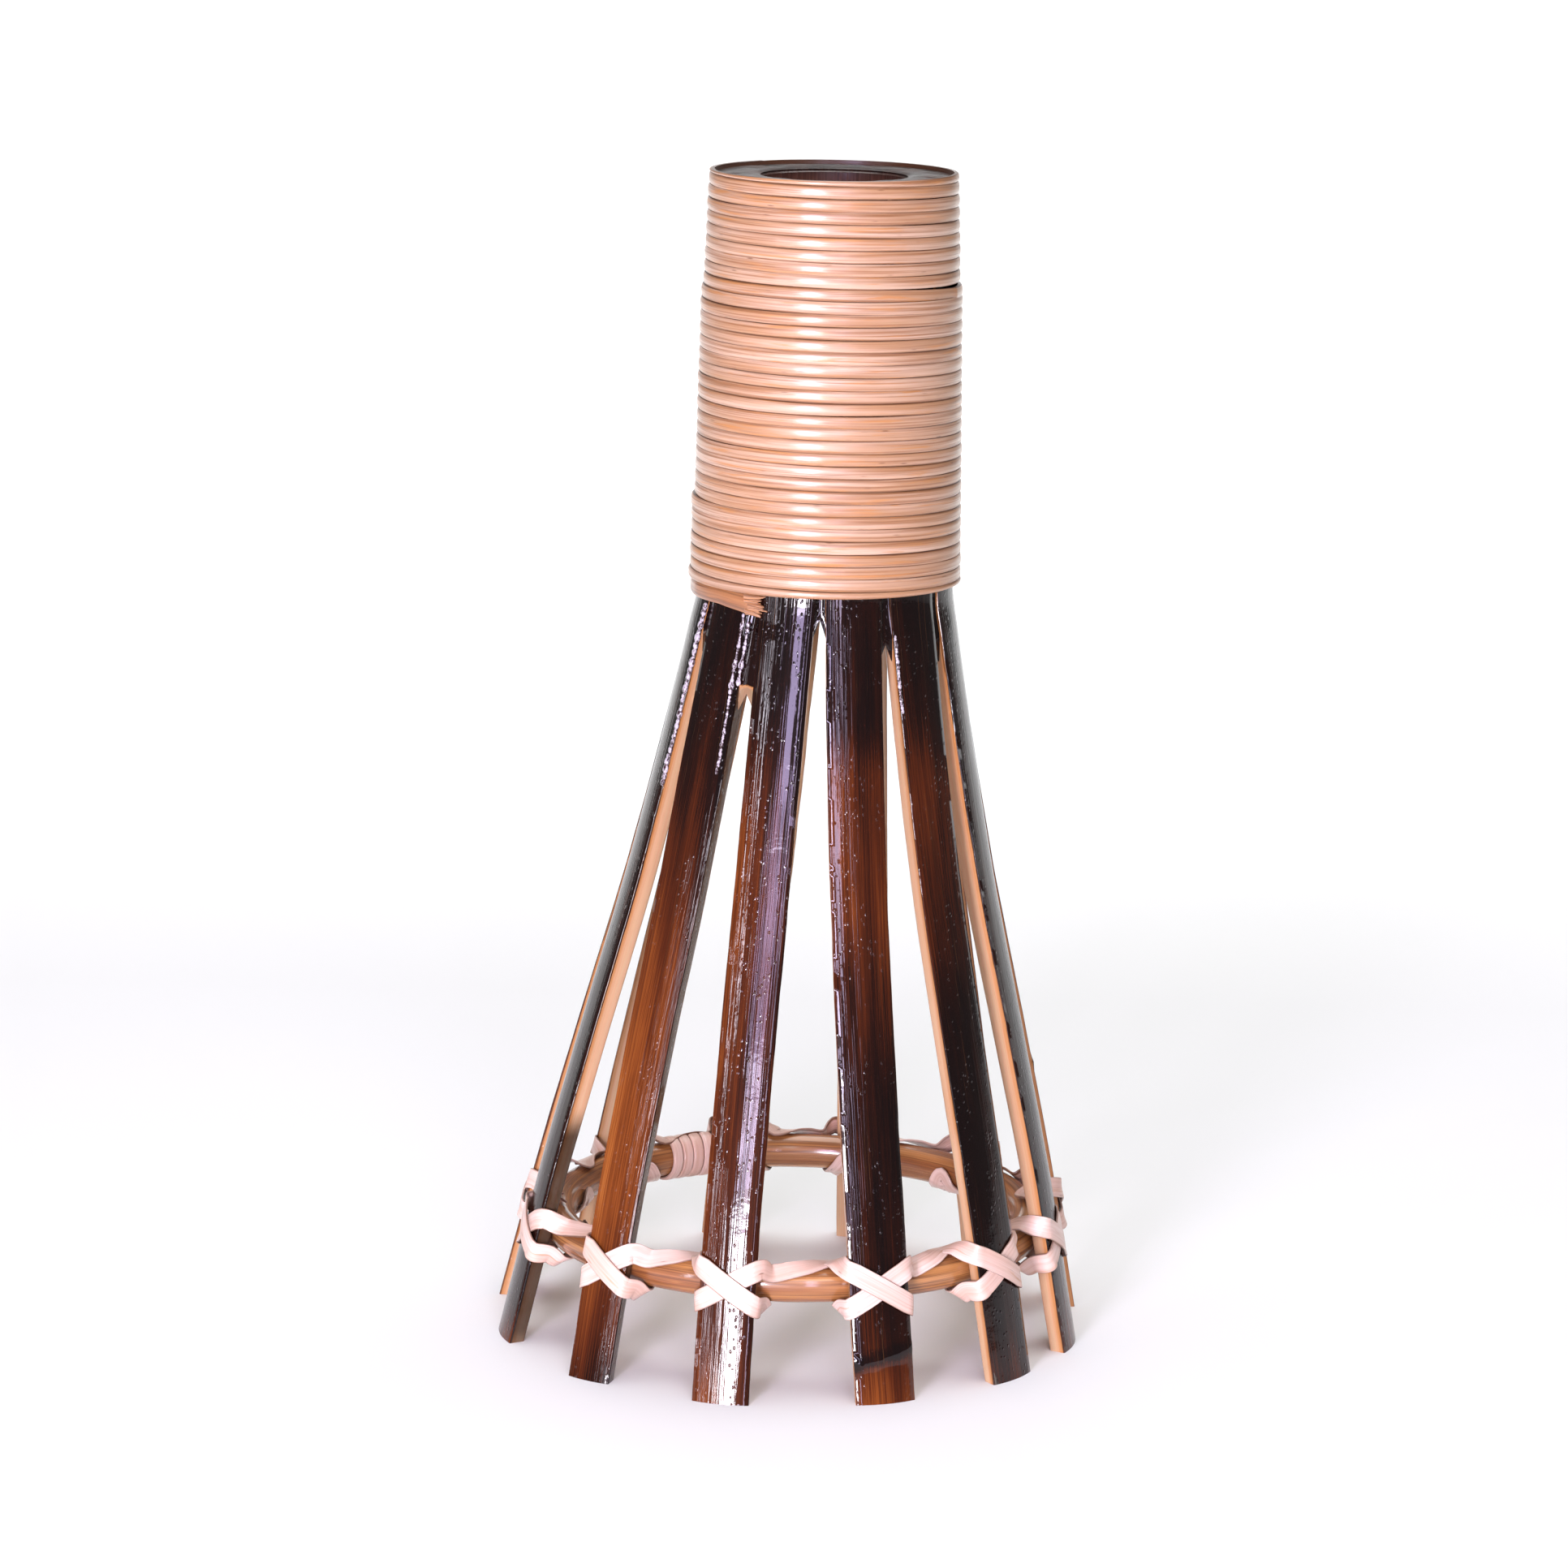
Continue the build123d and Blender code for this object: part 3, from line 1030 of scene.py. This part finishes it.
@dataclass(frozen=True)
class SpreaderHoop:
    """Round rattan ring inside the staves, with a bound splice; millimetres and degrees."""

    height: float = 26.0
    radius: float = 58.6
    rod: float = 4.5
    steps: int = 300
    sides: int = 24
    splice_angle: float = -150.7
    splice_turns: int = 4
    splice_pitch: float = 3.3
    splice_thickness: float = 0.95
    splice_steps: int = 40
    seam_fade: float = 10.0

    @property
    def centre(self) -> Vector:
        """Centre of the ring."""
        return AXIS.centre(self.height)

    def around(self, angle: float, roll: float, lift: float) -> Placed:
        """A point over the rod and the direction straight out of the rod there.

        Args:
            angle: Place round the ring.
            roll: Place round the rod, 0 outwards, 90 on top, 180 inwards.
            lift: Distance off the rod.

        Returns:
            The point in millimetres, and the unit normal.
        """
        normal = outward(angle) * math.cos(math.radians(roll)) + UP * math.sin(math.radians(roll))
        return self.centre + outward(angle) * self.radius + normal * (self.rod + lift), normal

    def start(self, x: float, y: float) -> Vector:
        """Where a point of the rod's round section starts, in rod radii."""
        return outward(self.splice_angle) * (self.radius + self.rod * x) + UP * self.rod * y

    def spot(self, x: float, y: float, even: Vector) -> Spot:
        """Place a section point of the ring.

        Args:
            x: Place in the section, outwards, in rod radii.
            y: Place in the section, upwards, in rod radii.
            even: Where the point lies in a perfectly even ring about the origin.

        Returns:
            The vertex's place, grain and stain.
        """
        angle = math.degrees(math.atan2(even.x, -even.y))
        run = math.radians((angle - self.splice_angle) % 360) * self.radius
        roll = math.degrees(math.atan2(y, x))
        fade = min(run, math.tau * self.radius - run, self.seam_fade) / self.seam_fade
        slim = (0.10 * wander(run, 4.0, 28) - 0.10 + 0.05 * wander(run + roll * 0.2, 6.0, 9)) * fade
        place, _ = self.around(angle, roll, slim)
        return Spot(place * MM, (run, math.radians(roll) * self.rod, 0.0))

    def build(self, finish: Material) -> None:
        """Make the ring.

        Args:
            finish: The rattan.
        """
        blank = Blank()
        corners = [math.tau * i / self.sides for i in range(self.sides)]
        blank.spin([(math.cos(a), math.sin(a)) for a in corners], self.steps, self.start, self.spot)
        blank.finish("rattan_hoop", finish, Slot.HOOP, ["spreader_hoop"])

    def splice_spot(self, across: float, rise: float, turn: float) -> Spot:
        """Place a section point of the splice winding.

        Args:
            across: Distance across the cane.
            rise: Height over the cane's underside.
            turn: Turns wound from its start.

        Returns:
            The vertex's place, grain and stain.
        """
        run = (turn - 0.5 * self.splice_turns) * self.splice_pitch + across
        angle = self.splice_angle + math.degrees(run) / self.radius
        place, _ = self.around(angle, 20 + 360 * turn, 0.03 + rise)
        # The third grain value is higher on the cane's underside, so the finish paints shade there.
        return Spot(place * MM, (turn * 31.0 + 900, across, 0.5 - 0.4 * rise))

    def splice(self, finish: Material) -> None:
        """Make the cane wound over the splice.

        Args:
            finish: The lashing cane.
        """
        blank = Blank()
        turns = [i / self.splice_steps for i in range(self.splice_turns * self.splice_steps + 1)]
        blank.sweep(strip_outline(3.1, self.splice_thickness, 0.15), turns, self.splice_spot)
        blank.finish("splice_winding", finish, Slot.HOOP, ["hoop_splice_binding"])


@dataclass(frozen=True)
class Stop:
    """One stop of the lashing: a place, the direction out of what it lies on, and the distance run so far."""

    place: Vector
    normal: Vector
    along: Vector
    run: float


@dataclass(frozen=True)
class Lashing:
    """One flat cane strip that ties every stave to the hoop with a cross, and runs along the hoop between them."""

    staves: tuple[Stave, ...]
    hoop: SpreaderHoop
    width: float = 5.0
    thickness: float = 0.55
    rise: float = 4.3
    middle: float = 1.3
    fine_steps: int = 6
    # each leg of the cross: share across the stave, share of the rise, lift off the skin
    upper_leg: tuple[Triple, ...] = (
        (-1.04, 1.02, 0.60), (-0.82, 0.82, 0.60), (-0.35, 0.36, 0.72), (0.05, -0.05, 0.78),
        (0.40, -0.42, 0.66), (0.82, -0.86, 0.30), (1.05, -1.08, 0.15),
    )
    lower_leg: tuple[Triple, ...] = (
        (-1.05, -1.02, 0.15), (-0.82, -0.80, 0.08), (-0.35, -0.34, 0.05), (0.05, 0.06, 0.05),
        (0.45, 0.44, 0.06), (0.88, 0.80, 0.12), (1.14, 0.98, 0.30),
    )
    # under the hoop: distance past the stave's edge, distances out and up from the rod, and which way it faces
    tuck: tuple[tuple[float, ...], ...] = (
        (0.10, 3.6, -5.6, 0.8, 0.1, -0.8), (-1.6, 0.2, -5.0, 0.1, 0.0, -1.0), (-4.2, -3.9, -2.9, 0.0, -0.8, -0.6),
    )
    # along the hoop to the next stave: share of the way, place round the rod
    bridge: tuple[Pair, ...] = ((0.0, 44), (0.35, 54), (0.7, 66), (1.0, 82))

    def over_stave(self, stave: Stave, share: float, offset: float, lift: float) -> Placed:
        """A stop over a stave's skin or just past its edge.

        Args:
            stave: The stave.
            share: Place across, where 1 is the right edge of the skin.
            offset: Height over the middle of the hoop.
            lift: Distance off the skin.

        Returns:
            The point in millimetres, and the unit normal.
        """
        height = self.hoop.height + offset
        half = 0.5 * stave.width(height)
        inside = max(-0.97, min(share, 0.97))
        place, normal = stave.on_skin(inside * half, height, lift)
        if abs(share) > 1:
            side = sideways(stave.facing(height)) * math.copysign(1.0, share)
            place = place + side * (abs(share) - 0.97) * half - normal * (abs(share) - 1) * half * 1.6
            normal = (normal + side * 1.1).normalized()
        return place, normal

    def cross(self, index: int) -> list[Placed]:
        """Stops of one cross, from the back of the hoop to the run that leaves it.

        Args:
            index: Which stave, counted from 0.

        Returns:
            Points in millimetres with their unit normals.
        """
        stave = self.staves[index]
        following = self.staves[(index + 1) % len(self.staves)]
        level = self.hoop.height
        here = stave.angle(level)
        half = 0.5 * stave.width(level)
        rise = self.rise * (1 + 0.12 * wander(index * 1.9, 1.0, 1.0))
        mid = self.middle + 0.5 * wander(index * 2.3, 2.0, 1.0)

        def skin(legs: Sequence[Triple]) -> list[Placed]:
            """Stops over this stave."""
            return [self.over_stave(stave, share, mid + rise * climb, lift) for share, climb, lift in legs]

        def beside(across: float, out: float, up: float, *facing: float) -> Placed:
            """A stop beside this stave.

            Args:
                across: Distance round the hoop from the stave's middle.
                out: Distance outwards from the middle of the rod.
                up: Distance upwards from there.
                facing: Shares of the directions round, outwards and upwards.

            Returns:
                The point in millimetres, and the unit normal.
            """
            turned = here + math.degrees(across / (self.hoop.radius + 0.5 * out))
            base = self.hoop.centre + outward(turned) * (self.hoop.radius + out) + UP * up
            normal = sideways(here) * facing[0] + outward(here) * facing[1] + UP * facing[2]
            return base, normal.normalized()

        def under(side: float) -> list[Placed]:
            """Stops from this stave's edge to under the hoop, on the right for 1 and the left for -1."""
            return [beside(side * (half + row[0]), row[1], row[2], side * row[3], *row[4:]) for row in self.tuck]

        stops = [
            beside(-half - 2.2, -0.4, 4.75, 0.0, -0.1, 1.0),
            beside(-half - 0.9, 2.6, 5.9, -0.35, 0.3, 1.0),
            beside(-half - 0.45, 6.3, mid + rise * 1.10, -1.0, 0.25, 0.45),
            *skin(self.upper_leg),
            beside(half + 0.35, 6.4, mid - rise * 1.25, 1.0, 0.25, -0.25),
            *under(1),
            beside(0.0, -4.75, -0.4, 0.0, -1.0, 0.0),
            *reversed(under(-1)),
            beside(-half - 0.35, 6.4, mid - rise * 1.20, -1.0, 0.25, -0.25),
            *skin(self.lower_leg),
        ]
        round_hoop = self.hoop.radius + 4
        start = here + math.degrees((half + 1.0) / round_hoop) + 1.6
        end = following.angle(level) + (360 if index + 1 == len(self.staves) else 0)
        end -= math.degrees((0.5 * following.width(level) + 1.0) / round_hoop) + 4.2
        for share, roll in self.bridge:
            lift = 0.06 + 0.35 * math.sin(math.pi * (0.2 + 0.6 * share))
            stops.append(self.hoop.around(start + (end - start) * share, roll, lift))
        return stops

    def stops(self) -> list[Stop]:
        """Join the crosses into one strip.

        Returns:
            Closely spaced stops on a smooth curve through the stops of the crosses.
        """
        raw = [stop for index in range(len(self.staves)) for stop in self.cross(index)]
        points = [place for place, _ in raw]
        gaps = [max((b - a).length, 0.05) ** 0.5 for a, b in zip(points, points[1:])]
        slopes = []
        for i, point in enumerate(points):
            if i in (0, len(points) - 1):
                near = 0 if i == 0 else i - 1
                slopes.append((points[near + 1] - points[near]) / gaps[near])
                continue
            before, after = gaps[i - 1], gaps[i]
            arriving, leaving = (point - points[i - 1]) / before, (points[i + 1] - point) / after
            slopes.append((arriving * after + leaving * before) / (before + after))
        smooth: list[Placed] = []
        for i, gap in enumerate(gaps):
            for k in range(self.fine_steps):
                t = k / self.fine_steps
                place = hermite(points[i], slopes[i] * gap, points[i + 1], slopes[i + 1] * gap, t)
                smooth.append((place, raw[i][1].lerp(raw[i + 1][1], t).normalized()))
        result = []
        run = 0.0
        for i, (place, normal) in enumerate(smooth):
            along = smooth[min(i + 1, len(smooth) - 1)][0] - smooth[max(i - 1, 0)][0]
            along.normalize()
            across = normal.cross(along).normalized()
            if i:
                run += (place - smooth[i - 1][0]).length
            result.append(Stop(place, along.cross(across), along, run))
        return result

    def spot(self, across: float, rise: float, stop: Stop) -> Spot:
        """Place a section point of the strip at a stop."""
        width = 1 + 0.05 * wander(stop.run, 9.0, 30)
        side = stop.normal.cross(stop.along)
        place = stop.place + side * across * width + stop.normal * rise
        # The third grain value rises at the strip's edges and on its underside, so the finish paints shade along the
        # strip's outlines and beneath it.
        edge = max(abs(across) / (0.5 * self.width) - 0.86, 0.0) * 4.0
        return Spot(place * MM, (stop.run, across, edge + (0.3 if rise < 0.1 else 0.0)))

    def build(self, finish: Material) -> None:
        """Make the strip.

        Args:
            finish: The lashing cane.
        """
        blank = Blank()
        blank.sweep(strip_outline(self.width, self.thickness, 0.1), self.stops(), self.spot)
        names = [f"lashing_{stave.number:02d}" for stave in self.staves]
        blank.finish("lashing_strip", finish, Slot.LASHING, names, crease_degrees=40.0)


@dataclass(frozen=True)
class LacquerWork:
    """Thick lacquer left on the bamboo: the skin over the collar's end, and beads along stave edges; millimetres."""

    staves: tuple[Stave, ...]
    inner: float = 17.75
    outer: float = 29.2
    bottom: float = 285.25
    swell: float = 0.75
    chipped_gap: int = 1
    web_top: float = 189.0
    web_bottoms: tuple[float, ...] = (
        171.0, 159.5, 178.0, 172.0, 170.0, 176.0, 173.0, 178.0, 174.0, 170.0, 177.0, 173.0,
    )
    chains: tuple[tuple[int, float, float, float, float], ...] = (
        (1, 0.94, 138.0, 182.0, 1.5),
        (2, 0.74, 144.0, 182.0, 1.0),
        (2, 1.00, 166.0, 180.0, 1.1),
        (5, -0.94, 160.0, 178.0, 0.9),
    )

    def end_spot(self, x: float, y: float, even: Vector) -> Spot:
        """Place a section point of the lacquer over the collar's end.

        Args:
            x: Distance from the axis.
            y: Share of the lacquer's height.
            even: Where the point lies in a perfectly even ring about the origin.

        Returns:
            The vertex's place, grain and stain.
        """
        flat = Vector((even.x, even.y, 0.0))
        ripple = noise.noise(flat * 0.16) * 0.30 + noise.noise(flat * 0.55) * 0.14
        angle = math.degrees(math.atan2(even.x, -even.y))
        to_seam = 15 - abs((angle - Stave.first_angle) % Stave.pitch - 15)
        groove = 0.25 * max(0.0, 1 - to_seam / 1.8) if x > 23 else 0.0
        place = AXIS.centre(self.bottom) + flat
        place.z = self.bottom + y * (self.swell + ripple * 0.7 - groove - 0.25)
        return Spot(place * MM, (place.x, place.y, 0.0))

    def end_skin(self, finish: Material) -> None:
        """Make the ring of lacquer over the stave heads and the end of the core sleeve.

        Args:
            finish: The dark lacquer.
        """
        blank = Blank()
        rows = 12
        span = self.outer - self.inner
        top = [(self.inner + span * i / rows, math.sin(math.pi * i / rows) ** 0.4) for i in range(rows + 1)]
        low = [(self.inner + span * (1 - i / 4), 0.0) for i in range(1, 4)]
        blank.spin(top + low, 180, lambda x, y: Vector((x, 0.0, y)), self.end_spot)
        blank.finish("end_lacquer", finish, Slot.SLEEVE)

    def web_spot(self, across: float, deep: float, station: tuple[int, float, float]) -> Spot:
        """Place a section point of a web of lacquer between two staves.

        Args:
            across: Share from the left stave, -0.5, to the right stave, 0.5.
            deep: Share of the web's depth, 0 in front.
            station: Gap number, height, and the height where the web runs out.

        Returns:
            The vertex's place, grain and stain.
        """
        gap, height, bottom = station
        left = self.staves[gap]
        right = self.staves[(gap + 1) % len(self.staves)]
        fade = min((height - bottom) / 6.0, 1.0)
        depth = 0.9 + deep * (0.25 + 3.6 * fade) + 1.3 * (1 - fade)
        from_left = left.point(0.47 * left.width(height), -depth - 0.5, height)
        from_right = right.point(-0.47 * right.width(height), -depth - 0.5, height)
        place = from_left.lerp(from_right, across + 0.5)
        place.z = max(height, bottom) + (1 - 4 * across * across) * 4.2 * (1 - fade)
        if gap == self.chipped_gap and height < bottom + 5.5:
            return Spot(place * MM, (height, across * 4, 2.0), 1.35)
        return Spot(place * MM, (height, across * 4, 0.0), 1.0)

    def webs(self, finish: Material) -> None:
        """Make the webs of lacquer that fill the gaps between the staves below the collar.

        Args:
            finish: The stained bamboo's lacquer.
        """
        blank = Blank()
        front = [(-0.5, 0.0), (-0.25, 0.12), (0.0, 0.16), (0.25, 0.12), (0.5, 0.0)]
        outline = front + [(0.5, 1.0), (0.0, 1.0), (-0.5, 1.0)]
        for gap, bottom in enumerate(self.web_bottoms):
            stations = [(gap, self.web_top + (bottom - self.web_top) * i / 14, bottom) for i in range(15)]
            blank.sweep(outline, stations, self.web_spot)
        blank.finish("lacquer_webs", finish, Slot.STAVE)

    def beads(self, finish: Material) -> None:
        """Make the chains of hardened lacquer beads.

        Args:
            finish: The lacquer.
        """
        blank = Blank()
        for number, share, low, high, bulk in self.chains:
            stave = self.staves[number - 1]
            height, count = high, 0
            while height > low:
                size = bulk * (0.30 + 0.65 * abs(wander(height, number + 0.7, 2.1)))
                across = min(share + 0.05 * wander(height, number + 3.3, 4.0), 1.0) * 0.5 * stave.width(height)
                place, normal = stave.on_skin(across, height, 0.02)
                turn = normal.to_track_quat("Z", "Y").to_matrix().to_4x4()
                shape = Matrix.Diagonal((size, size * 1.35, size * 0.75, 1.0))
                verts = bmesh.ops.create_icosphere(blank.mesh, subdivisions=2, radius=1.0)["verts"]
                for vert in verts:
                    spot = place + (turn @ shape @ vert.co)
                    blank.set_spot(vert, Spot(spot * MM, (height, across, 0.0), 0.9))
                height -= size * 1.9 + 0.25 * abs(wander(count * 1.3, number + 5.0, 1.0))
                count += 1
        blank.finish("lacquer_beads", finish, Slot.STAVE)


# --- studio -------------------------------------------------------------------------------------
@dataclass(frozen=True)
class Lamp:
    """A soft rectangular lamp, placed in metres and aimed at the torch head."""

    name: str
    place: Triple
    size: Pair
    power: float
    colour: Triple = (1.0, 1.0, 1.0)
    aim: Triple = (0.0, 0.0, 0.12)

    def build(self) -> None:
        """Hang the lamp."""
        data = bpy.data.lights.new(self.name, "AREA")
        data.shape = "RECTANGLE"
        data.size, data.size_y = self.size
        data.energy = self.power
        data.color = self.colour
        lamp = bpy.data.objects.new(self.name, data)
        direction = Vector(self.aim) - Vector(self.place)
        lamp.matrix_world = Matrix.Translation(self.place) @ direction.to_track_quat("-Z", "Y").to_matrix().to_4x4()
        bpy.context.scene.collection.objects.link(lamp)


@dataclass(frozen=True)
class Studio:
    """White sweep, soft lamps and an even sky."""

    sky: float = 0.15
    lamps: tuple[Lamp, ...] = (
        Lamp("main_strip", (-0.36, -1.14, 0.14), (0.26, 0.24), 12.5, (0.97, 0.93, 1.0)),
        Lamp("middle_strip", (-0.37, -1.15, 0.26), (0.24, 0.22), 3.4, (0.86, 0.78, 1.0)),
        Lamp("upper_strip", (-0.36, -1.14, 0.48), (0.22, 0.38), 4.0, (0.74, 0.60, 1.0)),
        Lamp("second_strip", (0.20, -1.20, 0.36), (0.09, 0.80), 3.2, (0.82, 0.70, 1.0)),
        Lamp("left_strip", (-0.86, -0.84, 0.22), (0.05, 0.40), 1.4, (0.93, 0.88, 1.0)),
        Lamp("front_fill", (0.5, -2.2, 1.6), (1.2, 0.8), 11.0),
        Lamp("overhead", (0.1, 0.4, 1.8), (1.8, 1.8), 34.0, aim=(0.0, 0.2, 0.0)),
        Lamp("backdrop", (0.0, 1.5, 1.9), (3.0, 1.2), 125.0, aim=(0.0, 3.6, 0.6)),
    )

    def build(self) -> None:
        """Set up the floor, the lamps and the sky."""
        mesh = bmesh.new()
        start = bmesh.ops.create_grid(mesh, x_segments=1, y_segments=1, size=3.0)["verts"]
        bmesh.ops.translate(mesh, verts=start, vec=(0, 0.5, 0))
        back = [edge for edge in mesh.edges if all(vert.co.y > 3.0 for vert in edge.verts)]
        verts = [vert for edge in back for vert in edge.verts]
        bmesh.ops.spin(mesh, geom=back + verts, cent=(0, 3.5, 1.0), axis=(1, 0, 0), angle=math.radians(90), steps=16)
        bmesh.ops.remove_doubles(mesh, verts=mesh.verts[:], dist=1e-5)
        bmesh.ops.recalc_face_normals(mesh, faces=mesh.faces[:])
        data = bpy.data.meshes.new("studio_floor")
        mesh.to_mesh(data)
        mesh.free()
        data.shade_smooth()
        data.materials.append(PlainFloor().build())
        floor = bpy.data.objects.new("studio_floor", data)
        bpy.context.scene.collection.objects.link(floor)
        for lamp in self.lamps:
            lamp.build()
        world = bpy.data.worlds.new("even_sky")
        world.use_nodes = True
        world.node_tree.nodes["Background"].inputs[0].default_value = rgb(1.0, 1.0, 1.0)
        world.node_tree.nodes["Background"].inputs[1].default_value = self.sky
        bpy.context.scene.world = world
        bpy.context.scene.view_settings.view_transform = "Standard"


@dataclass(frozen=True)
class PictureCamera:
    """Long-lens camera in front of and a little above the torch head; metres and radians."""

    place: Triple = (0.006, -1.250, 0.3957)
    pitch: float = 0.205
    yaw: float = 0.00743
    roll: float = 0.019
    lens: float = 119.2
    sensor: float = 36.0

    def build(self) -> None:
        """Set up the camera."""
        data = bpy.data.cameras.new("picture_camera")
        data.lens = self.lens
        data.sensor_width = self.sensor
        camera = bpy.data.objects.new("picture_camera", data)
        turn = Matrix.Rotation(self.yaw, 4, "Z") @ Matrix.Rotation(math.pi / 2 - self.pitch, 4, "X")
        camera.matrix_world = Matrix.Translation(self.place) @ turn @ Matrix.Rotation(self.roll, 4, "Z")
        bpy.context.scene.collection.objects.link(camera)
        bpy.context.scene.camera = camera


@dataclass
class TorchHead:
    """The whole torch head."""

    staves: tuple[Stave, ...]
    collar: CollarBinding = field(default_factory=CollarBinding)
    hoop: SpreaderHoop = field(default_factory=SpreaderHoop)

    def build(self) -> None:
        """Make every piece and give the core sleeve its finish."""
        bamboo = StainedStave().build()
        for stave in self.staves:
            stave.build(bamboo)
        pale = Cane(
            "binding_cane",
            rgb(0.57, 0.375, 0.265),
            rgb(0.43, 0.225, 0.115),
            rgb(0.27, 0.105, 0.036),
            # Darkening in the grooves between turns: dirt and painted shade.
            dirt_and_shade_from=0.52,
            dirt_and_shade_to=0.20,
            blot_from=0.53,
            speck_share=0.09,
            coat=0.8,
            coat_roughness=0.27,
        )
        winding = pale.build()
        collar = self.collar
        collar.length("cane_winding_upper", "collar_binding_upper", 0.02, collar.join, winding)
        collar.length("cane_winding_lower", "collar_binding_lower", collar.join, collar.turns + 0.98, winding)
        brown = Cane(
            "frayed_cane",
            rgb(0.52, 0.24, 0.10),
            rgb(0.28, 0.10, 0.035),
            rgb(0.09, 0.028, 0.010),
            fibre_depth=0.10,
            coat=0.8,
        )
        collar.tail(brown.build())
        rattan = Cane(
            "hoop_rattan",
            rgb(0.52, 0.23, 0.075),
            rgb(0.30, 0.10, 0.028),
            rgb(0.12, 0.036, 0.012),
            coat=0.85,
            coat_roughness=0.12,
        )
        self.hoop.build(rattan.build())
        flat = Cane(
            "lashing_cane",
            rgb(0.80, 0.60, 0.54),
            rgb(0.70, 0.47, 0.39),
            rgb(0.52, 0.27, 0.18),
            # Darkening along the strips' edges and undersides: painted shade.
            dirt_and_shade_from=0.70,
            dirt_and_shade_to=0.15,
            fibre_depth=0.012,
            streak_share=0.40,
            speck_share=0.09,
            coat=0.32,
        )
        strip = flat.build()
        self.hoop.splice(strip)
        Lashing(self.staves, self.hoop).build(strip)
        work = LacquerWork(self.staves)
        end = LacqueredEnd().build(AXIS.collar_x * MM, collar.top * MM, BORE_RADIUS * MM)
        work.end_skin(end)
        work.webs(bamboo)
        work.beads(BubbledLacquer().build())
        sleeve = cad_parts["core_sleeve"]
        sleeve.data.materials.clear()
        sleeve.data.materials.append(end)


def black_to(*stations: Pair) -> tuple[Pair, ...]:
    """Stain stations from the foot up, ending in the black zone under the collar."""
    return stations + ((160.0, 0.93), (186.0, 1.0))


STAVES = (
    Stave(1, -72.0, 13.6, black_to((0.0, 0.45), (12.0, 0.85), (120.0, 0.85)), sealed=1.0, sealed_below=62.0),
    Stave(
        2, -40.0, 11.6, black_to((0.0, 0.66), (14.0, 0.50), (45.0, 0.38), (80.0, 0.44), (112.0, 0.62), (140.0, 0.80)),
        0.12, twist=10.0, sealed=1.0,
    ),
    Stave(3, -12.0, 14.0, black_to((0.0, 0.50), (20.0, 0.62), (60.0, 0.60), (120.0, 0.62), (150.0, 0.82)), 0.14),
    Stave(
        4, 19.5, 15.2, black_to((0.0, 0.60), (15.0, 0.80), (60.0, 0.90), (92.0, 0.72), (115.0, 0.50), (145.0, 0.60)),
        0.05, knot=Knot(11.0, 0.22),
    ),
    Stave(5, 49.0, 14.6, black_to((0.0, 0.70), (18.0, 0.95), (85.0, 0.97), (105.0, 0.70), (140.0, 0.62)), 0.05),
    Stave(6, 73.5, 13.8, black_to((0.0, 0.60), (30.0, 0.85), (110.0, 0.90))),
    Stave(7, 104.0, 14.2, black_to((0.0, 0.55), (60.0, 0.45), (120.0, 0.70)), knot=Knot(64.0, -0.1)),
    Stave(8, 135.0, 13.2, black_to((0.0, 0.65), (40.0, 0.80), (100.0, 0.50)), 0.1),
    Stave(9, 165.0, 13.8, black_to((0.0, 0.40), (50.0, 0.55), (110.0, 0.75)), -0.1),
    Stave(10, 193.5, 13.0, black_to((0.0, 0.70), (35.0, 0.50), (90.0, 0.62)), 0.08, knot=Knot(96.0, 0.12)),
    Stave(11, 225.0, 13.6, black_to((0.0, 0.50), (45.0, 0.75), (115.0, 0.60)), -0.08),
    Stave(12, 256.0, 14.0, black_to((0.0, 0.60), (55.0, 0.60), (105.0, 0.80))),
)


def main() -> None:
    """Build the torch head and its studio."""
    TorchHead(STAVES).build()
    Studio().build()
    PictureCamera().build()


if __name__ == "__main__":
    main()
